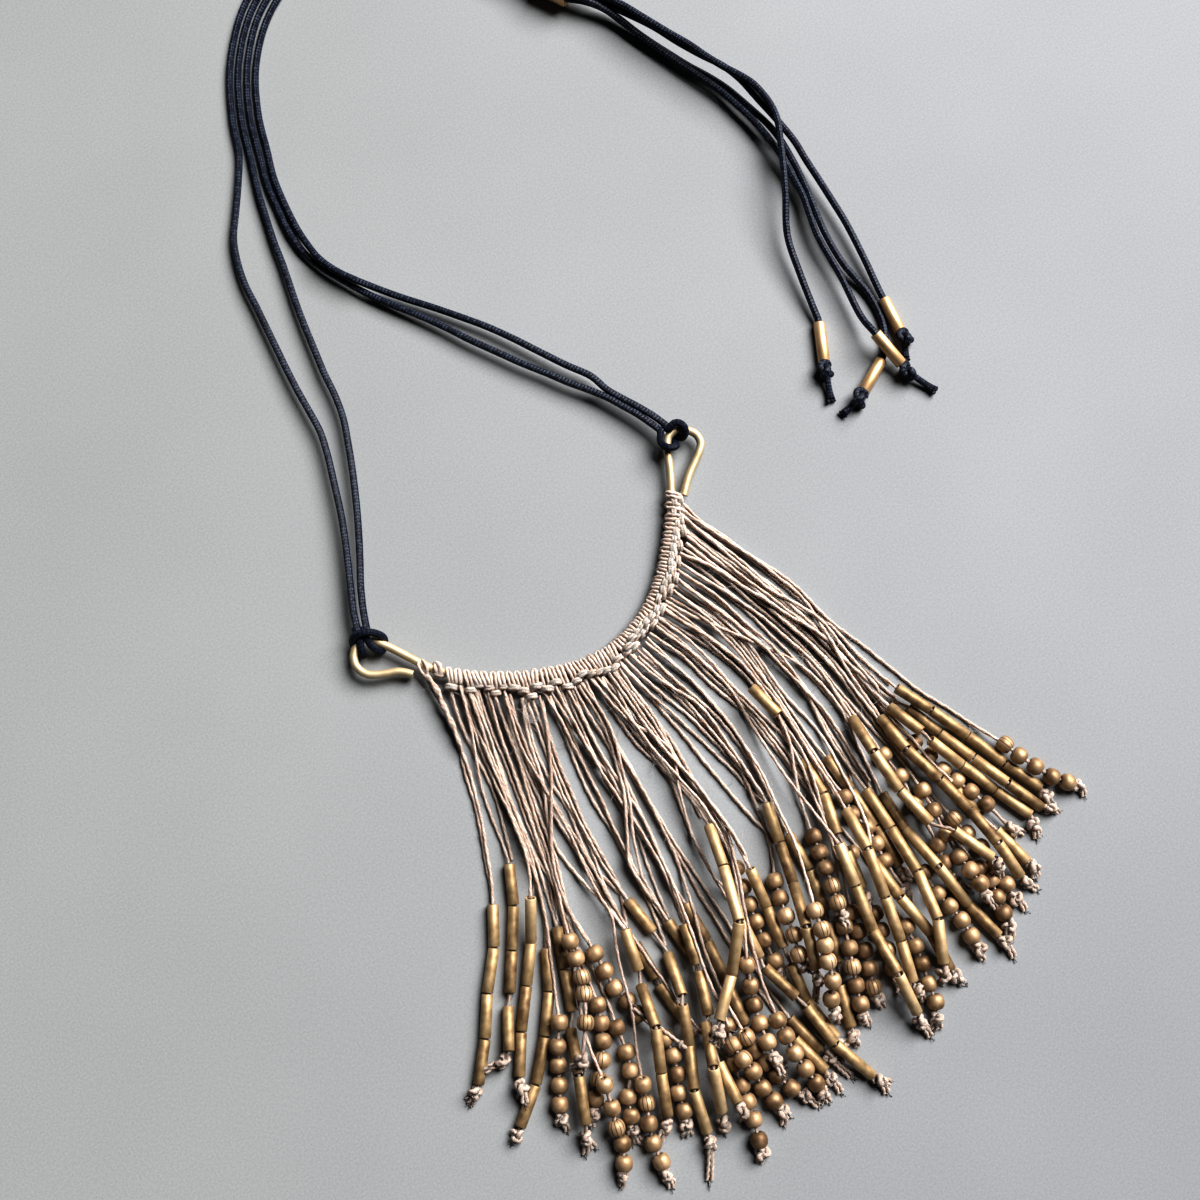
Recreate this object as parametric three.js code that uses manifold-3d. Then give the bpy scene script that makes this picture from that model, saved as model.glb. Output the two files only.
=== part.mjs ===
// A bar necklace as it lies on a table: a brass wire bent into a bar with two eyes, a knotted
// thread fringe with strings of brass beads, and a doubled cord from each eye through a slider.
// Millimetres, +Z up, the table at z = 0. X runs along the bar and +Y towards the cords.
import * as THREE from 'three';
import { mergeVertices } from 'three/addons/utils/BufferGeometryUtils.js';
import Module from 'manifold-3d';

const wasm = await Module();
wasm.setup();

// ---- driving sizes ------------------------------------------------------------------------
const wireRadius = 0.65;
const cordRadius = 0.7;
const tubeBeadRadius = 1.05;
const tubeFarRadius = 0.8;
const roundBeadRadius = 1.6;
const threadRadius = 0.4;
const neckRadius = 0.35;
const lockThickness = 1.0;
const clearance = 0.3;
const endTube = { inner: 0.85, outer: 1.2, core: 0.5 };
const slider = { x: 67.5, y: 104.5, heading: -52, length: 8, inner: 2.4, outer: 2.9 };
const threadReach = 0.5;
const layStep = 0.6;
const layPasses = 2;
const steepest = 0.5;
const beadSides = 4;
const wireSides = 6;
const cordSides = 8;
const cordSteps = 60;
const barMiddle = { x: 0, y: -18.1 };

// The wire is planar and tilts up from the knotted arc to the eyes, which lie on the hitches.
const wireHeight = (y) => 1.4 + 0.036 * (y - barMiddle.y);

// ---- colours and finishes -----------------------------------------------------------------
const finish = (color, roughness, metalness) =>
  () => new THREE.MeshStandardMaterial({ color, roughness, metalness });
const brightBrass = finish(0xb08d4c, 0.35, 1);
const agedBrass = finish(0x8a6a3a, 0.45, 1);
const taupeThread = finish(0xa8917d, 0.85, 0);
const darkCord = finish(0x171c2b, 0.6, 0);

// ---- routes, charted on the table: x, y -----------------------------------------------------
const wireRoute = [
  [-32.4, -1.2], [-33.3, -0.2], [-34.6, 0.9], [-36.2, 1.6], [-38.3, 2.6], [-40, 3.8], [-40.9, 5.2],
  [-41.1, 6.8], [-40.5, 8.2], [-39.3, 9.2], [-38.2, 9.9], [-37, 10], [-35.5, 9], [-34.6, 7.6],
  [-33.3, 5.6], [-31.7, 2.8], [-30.3, 0.3], [-28.9, -2], [-27.5, -3.8], [-25.8, -5.6],
  [-20.7, -9.7], [-15.6, -12.9], [-10.4, -15.4], [-5, -17.2], [0, -18.1], [5, -17.7], [9.5, -16.5],
  [14, -14.3], [18, -11.3], [21.5, -8], [25, -4.1], [27.3, -1], [29.2, 1.9], [31.4, 5.5],
  [33, 8.6], [34.2, 10.6], [35.3, 11.8], [36.6, 12.1], [37.9, 11.9], [39, 11], [39.9, 9.8],
  [40.2, 8.6], [39.9, 7.2], [38.6, 5.9], [36.5, 4.5], [34.5, 3.2], [32.8, 1.8], [31.2, 0.3],
];

// The stretch of the wire that the knots cover, by index into wireRoute.
const knotted = { first: 17, last: 31 };

// The knot band's section: outwards from the wire towards the fringe, and up. Its foot is flat.
// Rows above `rise` follow the wire's height; the others stay on the table.
const bandSection = [
  { out: -1.35, up: 0.6, rides: true }, { out: -0.7, up: 1.25, rides: true },
  { out: 0.7, up: 1.25, rides: true }, { out: 1.5, up: 0.4, rides: true },
  { out: 3.4, up: 0.9, rides: false }, { out: 3, up: 0, rides: false },
  { out: -0.8, up: 0, rides: false }, { out: -1.35, up: 0.7, rides: false },
];

// Thread locks: start and end width, then the route from the band down.
const locks = [
  { from: 1.2, to: 1.2, route: [[-30, -2.8], [-32.1, -16], [-38, -36]] },
  { from: 2, to: 1.6, route: [[-27.2, -6], [-31, -22.2], [-35.3, -38.5]] },
  { from: 2.6, to: 2.4, route: [[-24, -9], [-28.2, -25.5], [-32, -44]] },
  { from: 3, to: 2.8, route: [[-20.8, -11.5], [-24.4, -26.5], [-28, -44]] },
  { from: 2.6, to: 2.4, route: [[-18, -13.5], [-21.9, -29], [-23.7, -47]] },
  { from: 2.4, to: 2.2, route: [[-15.2, -15.5], [-19, -32.5], [-20.8, -48]] },
  { from: 2.8, to: 2.6, route: [[-12, -17], [-15.2, -32.5], [-16.9, -50]] },
  { from: 2, to: 1.8, route: [[-9.4, -18], [-12.1, -33], [-12.7, -51]] },
  { from: 2.4, to: 2, route: [[-6.4, -19], [-7.6, -32.5], [-8.6, -49]] },
  { from: 3, to: 2.6, route: [[-3, -19.9], [-2.9, -35], [-3.6, -50]] },
  { from: 3, to: 2.6, route: [[0.6, -20.2], [0.7, -35.5], [0.8, -51]] },
  { from: 3.2, to: 2.6, route: [[4, -20], [7.2, -35.5], [9.2, -51]] },
  { from: 2.8, to: 2.4, route: [[7.8, -18.8], [11.7, -34], [13.4, -49]] },
  { from: 2.8, to: 2.6, route: [[10.8, -17.8], [15.8, -33.5], [18, -49]] },
  { from: 3.4, to: 3, route: [[14.4, -15.8], [20.1, -32], [22, -47]] },
  { from: 3, to: 2.6, route: [[18.2, -13], [23.6, -29], [24.8, -48]] },
  { from: 3, to: 2.6, route: [[21.2, -10.3], [26.5, -26.5], [28.6, -47]] },
  { from: 3, to: 2.8, route: [[24, -7.5], [29.8, -25], [33.6, -45]] },
  { from: 3, to: 2.8, route: [[26.8, -4.6], [33.2, -23.5], [38.4, -46]] },
  { from: 2.4, to: 1.8, route: [[29.2, -1.9], [35.9, -20], [41.2, -40]] },
];

// Strings of beads, in the order in which they lie, the lowest first. Rows with one node name
// share a thread end, and are one solid. lead: the thread's way from its lock; beads: for tubes
// the joints of each unbroken run, for round beads their centres; knot: x, y, radius; tail: x, y.
const strings = [
  { node: 'tube_string_10', kind: 'tube', lead: [[-24.5, -46], [-24.9, -57]],
    beads: [[[-24.8, -66.5], [-25, -74]], [[-25.2, -75], [-24.9, -83]]], knot: [-24.6, -85, 0.8] },
  { node: 'tube_string_10', kind: 'round', lead: [[-24.9, -83], [-22.6, -90]],
    beads: [[-21.7, -94.3], [-22.6, -98.2], [-23.3, -101.2], [-24.2, -104.3], [-25.4, -107.8]],
    knot: [-26.2, -110, 1], tail: [-27.5, -111.2] },
  { node: 'tube_string_12', kind: 'tube', lead: [[-16.6, -47.5], [-17.3, -58]],
    beads: [[[-17.5, -66.3], [-17.2, -73.8]], [[-23.9, -92.4], [-24.9, -100.2]]],
    knot: [-25, -101.7, 1.3], tail: [-26, -103.6] },
  { node: 'tube_string_16', kind: 'tube', lead: [[-8.3, -46.5], [-9, -58], [-10.3, -78]],
    beads: [[[-9.9, -96.8], [-8.3, -104.7]]],
    knot: [-8.4, -106.2, 1], tail: [-8.2, -109.3] },
  { node: 'tube_string_16', kind: 'tube', lead: [[-8.3, -46.5], [-8.2, -58], [-8.6, -82]],
    beads: [[[-8.6, -93.3], [-6.8, -101.2]]], knot: [-6.3, -103, 1.1], tail: [-5, -108] },
  { node: 'round_string_18', kind: 'round', lead: [[17.8, -46.5], [18.4, -60]],
    beads: [[18.1, -75], [15.4, -86.5], [14.6, -89.7], [13.5, -93.2], [12.5, -96.4]],
    knot: [12, -98.6, 0.8] },
  { node: 'round_string_18', kind: 'round', lead: [[18.4, -60], [20, -78]],
    beads: [[19, -91.7], [18.3, -95.5], [17.5, -98.8], [16.3, -102.3], [15.5, -105.7]],
    knot: [14, -108.3, 1.1], tail: [13.6, -110] },
  { node: 'round_string_24', kind: 'round', lead: [[36.8, -68], [37, -74], [36.4, -82]],
    beads: [[36.5, -90.6], [37.1, -93.4], [36.2, -96.6], [35.5, -99.6]],
    knot: [35.1, -102, 1.1], tail: [34, -104.4] },
  { node: 'round_string_24', kind: 'round', lead: [[36.8, -68], [37.4, -75]],
    beads: [[38, -80.4], [38.4, -84], [39.1, -87.5], [39.3, -91.6], [39, -95.7]],
    knot: [38.9, -98.7, 1.1], tail: [39.5, -101.5] },
  { node: 'tube_string_23', kind: 'tube', lead: [[24.8, -45], [24.2, -52]],
    beads: [[[24.6, -57.5], [25, -65.4], [25, -73.5], [24.6, -82]]], knot: [24.4, -83.6, 0.8] },
  { node: 'tube_string_23', kind: 'round', lead: [[24.8, -45], [23.3, -54]],
    beads: [[23.2, -65.8], [22.6, -69.2], [23.4, -72.8], [23, -76.2], [22.6, -79.7]],
    knot: [22.7, -86.3, 0.9], tail: [22.2, -88.2] },
  { node: 'round_string_06', kind: 'round', lead: [[-28, -41.5], [-30.3, -50], [-33, -60]],
    beads: [[-36, -77.2], [-36.9, -81.8], [-38.1, -84.9], [-41, -88.5], [-42.4, -91.6]],
    knot: [-43.5, -94, 1.1], tail: [-44.8, -95.7] },
  { node: 'round_string_06', kind: 'round', lead: [[-28, -41.5], [-31.2, -50], [-33.8, -60]],
    beads: [[-36.7, -71.9], [-38, -75], [-39.4, -77.8], [-41.4, -80.5], [-43.8, -83.2],
      [-46.2, -85.6]], knot: [-47.6, -87.6, 1.1] },
  { node: 'tube_string_17', kind: 'tube', lead: [[-12.6, -48], [-12.9, -57]],
    beads: [[[-13, -65.5], [-13.4, -73.5], [-14.6, -81.7], [-16, -90]]], knot: [-16.4, -91.4, 0.8] },
  { node: 'round_string_20', kind: 'round', lead: [[-3.2, -47], [-0.4, -56]],
    beads: [[-1.4, -65.5], [-2.3, -69], [-3.1, -72.3], [-3.9, -75.6], [-4.5, -79.2],
      [-4.9, -83.3]], knot: [-5, -85.3, 0.8] },
  { node: 'tube_string_25', kind: 'round', lead: [[29.2, -62], [27.6, -72]],
    beads: [[27.5, -85.5], [27.3, -89.9], [27.8, -93.1], [28.2, -96.4], [28, -99.7]],
    knot: [27.9, -102.5, 1], tail: [27.5, -104.5] },
  { node: 'tube_string_19', kind: 'tube', lead: [[0.8, -48.5], [1.4, -57]],
    beads: [[[0.4, -66.8], [-0.8, -74.5], [-2.5, -82.3]],
      [[-2.9, -85.3], [-4.1, -92.5], [-3.4, -101.1]]], knot: [-3.2, -102.6, 0.8] },
  { node: 'tube_string_21', kind: 'tube', lead: [[13, -44.5], [12, -56]],
    beads: [[[10.4, -65.5], [9.9, -73.3], [8.1, -81.3]], [[7.3, -83], [4.9, -90.2]],
      [[2.6, -93.5], [0, -101]]], knot: [-0.6, -102.6, 1] },
  { node: 'round_string_16', kind: 'round', lead: [[9, -47.5], [7, -61]],
    beads: [[3.3, -71.4], [2.2, -74.5], [1.1, -77.7], [0.4, -81.3], [-0.9, -84.6]],
    knot: [-0.9, -87.2, 1] },
  { node: 'tube_string_28', kind: 'tube', lead: [[24.9, -42], [25.6, -56], [23.8, -71]],
    beads: [[[20.4, -78.2], [20.6, -86.4], [21.9, -95.2], [21.3, -102.7]]],
    knot: [21.5, -104.3, 0.9], tail: [22, -106] },
  { node: 'tube_string_24', kind: 'tube', lead: [[17.9, -43.5], [20, -51]],
    beads: [[[20.5, -55.5], [20.1, -63.1], [17.8, -70.8]], [[17.3, -74], [15.9, -81.3]]],
    knot: [15.6, -83, 0.8] },
  { node: 'round_string_17', kind: 'round', lead: [[21.9, -41], [20.9, -54], [16.2, -70]],
    beads: [[9.2, -85.3], [7.7, -88.9], [6.2, -92], [5, -95.2], [3.7, -98.3]],
    knot: [2.9, -100.5, 1], tail: [3.2, -102.4] },
  { node: 'round_string_17', kind: 'round', lead: [[16.2, -70], [14.2, -78]],
    beads: [[11.9, -84], [11, -87.5], [10, -91], [8.9, -94.1], [7.4, -97.2]],
    knot: [7, -99.4, 1], tail: [7.2, -101.2] },
  { node: 'round_string_08', kind: 'round', lead: [[-31.8, -41], [-31.6, -53]],
    beads: [[-32, -63.9], [-32.2, -67.5], [-32.4, -71.1], [-31.7, -74.3], [-31.4, -77.4],
      [-29.6, -83.7], [-30.1, -87], [-31.3, -90.2], [-33, -93], [-33.8, -96.1]],
    knot: [-34.9, -98.2, 1], tail: [-36.3, -100] },
  { node: 'tube_string_05', kind: 'tube', lead: [[-31.9, -42], [-34.2, -51]],
    beads: [[[-35.3, -55.9], [-38.3, -63.2], [-41.3, -70.4]],
      [[-43.2, -72.7], [-46.3, -80.3], [-50, -88.2]]], knot: [-51.3, -90.2, 1.1], tail: [-53, -92.6] },
  { node: 'tube_string_05', kind: 'tube', lead: [[-31.9, -42], [-35.6, -51]],
    beads: [[[-39, -58.1], [-42.9, -65], [-47.9, -71.3], [-53.9, -77.5], [-60.4, -82.2]]],
    knot: [-61.6, -83, 0.9], tail: [-63, -83.6] },
  { node: 'round_string_01', kind: 'round', lead: [[-32.4, -38], [-36.8, -52]],
    beads: [[-44.2, -70.6], [-46.8, -74], [-48.6, -76.9], [-50.3, -79.9], [-52.1, -82.8]],
    knot: [-53.3, -85.1, 1.1], tail: [-53.4, -87.4] },
  { node: 'tube_string_03', kind: 'tube', lead: [[-31.6, -39], [-34, -45.5]],
    beads: [[[-36.3, -48.9], [-40.8, -55.7], [-45.8, -61.8], [-51.1, -68.2], [-55.7, -74.8]]],
    knot: [-56.2, -76.4, 1.1], tail: [-57.2, -79] },
  { node: 'tube_string_11', kind: 'tube', lead: [[-20.6, -42.5], [-21.9, -52]],
    beads: [[[-21.6, -59], [-20.9, -66.7]], [[-20.8, -71.2], [-22.9, -79]],
      [[-23.7, -80.1], [-26.6, -87.1], [-30.3, -93.9], [-32.5, -101.7]]],
    knot: [-33, -103.4, 1.3], tail: [-36.8, -108.8] },
  { node: 'tube_string_13', kind: 'tube', lead: [[-12.4, -43.5], [-13, -58]],
    beads: [[[-15.3, -68.4], [-17.5, -76]], [[-17.8, -76.9], [-20.8, -84.6]],
      [[-21.9, -85.2], [-25.2, -92.2], [-28.2, -100]]], knot: [-29.1, -101.9, 1.5] },
  { node: 'round_string_21', kind: 'round', lead: [[33.4, -40.5], [35.2, -54]],
    beads: [[36, -72.8], [35.5, -77], [34.9, -82], [34.4, -86.6], [34.4, -89.6], [34.6, -92.6]],
    knot: [34.3, -95, 1], tail: [34.8, -98] },
  { node: 'round_string_21', kind: 'round', lead: [[35.2, -54], [34, -58]],
    beads: [[33.9, -63.4], [34.2, -68.4], [33.5, -74], [32.6, -82.7], [31.7, -86]],
    knot: [31.6, -89.8, 0.9], tail: [32.8, -93] },
  { node: 'round_string_25', kind: 'round', lead: [[38, -41], [39.2, -55]],
    beads: [[40.1, -64.7], [41, -68.3], [41.6, -71.9], [42.6, -74.9], [43.6, -78.1],
      [44.7, -81.6]], knot: [46, -88, 1], tail: [47.7, -89.9] },
  { node: 'round_string_25', kind: 'tube', lead: [[39.2, -55], [39.4, -66]],
    beads: [[[41.5, -74.5], [42.5, -82.2]], [[43.5, -86.5], [44.9, -94.6]]],
    knot: [45.3, -95.8, 1], tail: [44.5, -97.8] },
  { node: 'tube_string_02', kind: 'tube', lead: [[-35, -36.5]],
    beads: [[[-36.4, -41.3], [-39.9, -48.3], [-44.6, -55], [-49.1, -61.3]],
      [[-50.6, -63], [-54.8, -69.9]]], knot: [-56.8, -70.8, 1.4], tail: [-60.3, -70.4] },
  { node: 'tube_string_01', kind: 'tube', lead: [[-37.6, -34.5]],
    beads: [[[-43, -45.9], [-47.1, -52.7], [-52.6, -59], [-57.3, -65.6], [-62.7, -71.8]]],
    knot: [-63.9, -72.6, 1], tail: [-65.8, -73.8] },
  { node: 'tube_string_32', kind: 'tube', lead: [[38.2, -43.4], [39, -51]],
    beads: [[[39.9, -56.3], [42, -63.8]], [[42.1, -65.8], [44.9, -73], [47.8, -80.4], [50.6, -88]]],
    knot: [50, -89.6, 1], tail: [50, -91.6] },
  { node: 'tube_string_33', kind: 'tube', lead: [[37.4, -39], [41.3, -53]],
    beads: [[[43.2, -58.4], [45.3, -65.9], [47.7, -73.2], [50.1, -80.5], [53.2, -88]]],
    knot: [54.3, -88.9, 1], tail: [55.5, -90.2] },
  { node: 'tube_string_34', kind: 'tube', lead: [[40.2, -36], [41.6, -48]],
    beads: [[[43, -54.2], [46.2, -61.3], [49.5, -69.2], [52.3, -77.3], [55.3, -85]]],
    knot: [55.2, -86.6, 1], tail: [55.3, -88.8] },
  { node: 'round_string_28', kind: 'round', lead: [[40.8, -38.5], [47, -57]],
    beads: [[54.2, -74.4], [55, -77.6], [56.4, -80.9], [57.9, -84.2], [59.9, -86.7]],
    knot: [61.2, -88.2, 0.9], tail: [61.5, -90.5] },
  { node: 'tube_string_18', kind: 'tube', lead: [[-2.6, -44], [-5, -60]],
    beads: [[[-6.2, -73.4], [-7.1, -81.3]], [[-7.4, -83], [-5.5, -90.8]],
      [[-5, -93], [-4.4, -101.4], [-1.7, -110.2]]], knot: [-1.1, -111.4, 1], tail: [-1.2, -114] },
  { node: 'round_string_12', kind: 'round', lead: [[-8.2, -42.5], [-11, -63], [-16.4, -78]],
    beads: [[-17.2, -91.5], [-17.3, -94.4], [-16.8, -97.3], [-16.2, -100.3], [-15.3, -103.6]],
    knot: [-14, -106.2, 0.9], tail: [-13, -109] },
  { node: 'round_string_12', kind: 'round', lead: [[-16.4, -78], [-17.6, -83]],
    beads: [[-18.8, -88.2], [-20, -91.4], [-19.9, -94.3], [-19.5, -97.2], [-19.7, -100.7],
      [-19.2, -103.7]], knot: [-19, -106, 1], tail: [-18.4, -107.6] },
  { node: 'round_string_13', kind: 'round', lead: [[0.7, -44.5], [0.2, -59], [-4.5, -71]],
    beads: [[-9.9, -80.9], [-11.3, -84.5], [-12.6, -87.7], [-13.7, -91], [-14.5, -94.3]],
    knot: [-15, -97.5, 0.9], tail: [-15.4, -100.5] },
  { node: 'round_string_13', kind: 'round', lead: [[0.7, -44.5], [0.8, -59], [-4, -71], [-8.4, -82]],
    beads: [[-10.7, -92.2], [-11, -95.3], [-11.4, -98.7], [-11.3, -102.1], [-11.1, -105.4]],
    knot: [-11, -107.4, 1], tail: [-12.2, -108.8] },
  { node: 'tube_string_20', kind: 'tube', lead: [[9, -44], [10.4, -53]],
    beads: [[[10.2, -58.5], [8, -66], [5.7, -73.6], [2.8, -81.1], [0.2, -88.5]]],
    knot: [-0.6, -90.2, 1.1], tail: [-2.5, -93.3] },
  { node: 'round_string_26', kind: 'round', lead: [[13, -41], [11.7, -57], [9.6, -69]],
    beads: [[5.6, -79.5], [4.7, -82.9], [3.6, -85.6], [2.5, -88.2], [1.4, -91.7], [-0.5, -94.4]],
    knot: [-1.4, -97, 1.1] },
  { node: 'round_string_23', kind: 'round', lead: [[21.9, -38], [17.5, -56]],
    beads: [[14, -68.6], [13.2, -71.7], [12.4, -74.6], [11.4, -77.9], [10.4, -80.9]],
    knot: [9.9, -83, 0.8] },
  { node: 'tube_string_25', kind: 'tube', lead: [[29.2, -62]],
    beads: [[[29.5, -69], [29.3, -77], [29.8, -85.8], [31, -94.8], [32.4, -102.7]]],
    knot: [32.7, -104.1, 1], tail: [32.5, -107.3] },
  { node: 'round_string_05', kind: 'round', lead: [[-29.5, -39], [-32.3, -52], [-37.6, -66]],
    beads: [[-43.2, -84.1], [-44.5, -88.4], [-45.7, -91.7], [-46.4, -94.7], [-48, -97.7]],
    knot: [-49.3, -99.4, 1] },
  { node: 'round_string_04', kind: 'round', lead: [[-28, -38.5], [-31.8, -50]],
    beads: [[-34.6, -59.5], [-35.4, -62.7], [-36.4, -66.1], [-37.6, -68.9], [-40.2, -73.2]],
    knot: [-44.3, -78.3, 1.1], tail: [-46.5, -78.4] },
  { node: 'tube_string_09', kind: 'tube', lead: [[-27.6, -41], [-26.2, -53]],
    beads: [[[-25, -63.2], [-27, -71]], [[-28.1, -73.2], [-30, -80.9], [-33.6, -88.1], [-36.9, -95.3]]],
    knot: [-38, -96.5, 1.4], tail: [-40.3, -98] },
  { node: 'round_string_07', kind: 'round', lead: [[-23.5, -43.5], [-25.8, -58], [-31.7, -75]],
    beads: [[-37.5, -88.1], [-38.8, -91.3], [-40.4, -94.4], [-41.7, -97.7], [-42.2, -101.2]],
    knot: [-42.8, -103.4, 1], tail: [-43.2, -106] },
  { node: 'tube_string_26', kind: 'tube', lead: [[28.4, -43.5], [27.4, -57]],
    beads: [[[27.3, -66.7], [26.9, -75.3], [26.1, -84.4], [24, -93.4], [20.3, -100.7]]],
    knot: [19.4, -102.2, 1.3] },
  { node: 'tube_string_22', kind: 'tube', lead: [[21.8, -34.5], [22.6, -56]],
    beads: [[[21.6, -67.7], [20.3, -75.8], [18.2, -84.8], [16.3, -93], [14, -100.5]]],
    knot: [13.8, -102, 1], tail: [14, -104.5] },
  { node: 'tube_string_27', kind: 'tube', lead: [[17.7, -40.5], [16.2, -60]],
    beads: [[[16.4, -72], [14.8, -80.1], [13, -88.7], [12.1, -97.3], [11.4, -105.4]]],
    knot: [11, -107, 1], tail: [11.3, -110.3] },
  { node: 'tube_string_29', kind: 'tube', lead: [[33, -37.5], [33.2, -48]],
    beads: [[[33, -54.2], [31.9, -61.8], [32, -70.4], [33.3, -78.5]], [[35.9, -81.9], [39.2, -90.1]]],
    knot: [39, -91.6, 1.4], tail: [38.9, -94] },
  { node: 'tube_string_31', kind: 'tube', lead: [[37, -36], [37.8, -50]],
    beads: [[[37.6, -57], [37.8, -64.8], [39.6, -72.9], [41.1, -80.5], [41.7, -88.3], [42.1, -96]]],
    knot: [42.4, -97.4, 1], tail: [43.5, -99.7] },
  { node: 'tube_string_15', kind: 'tube', lead: [[-2.4, -41], [-1.2, -50]],
    beads: [[[-1.4, -56], [-3.6, -63.8], [-7, -73.5], [-13.3, -80.8], [-19.8, -86.2]]],
    knot: [-20.9, -87.6, 1.5], tail: [-21.8, -90] },
  { node: 'loose_tube', kind: 'tube', lead: [],
    beads: [[[19.8, -39], [21, -46.3]]] },
];

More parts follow.
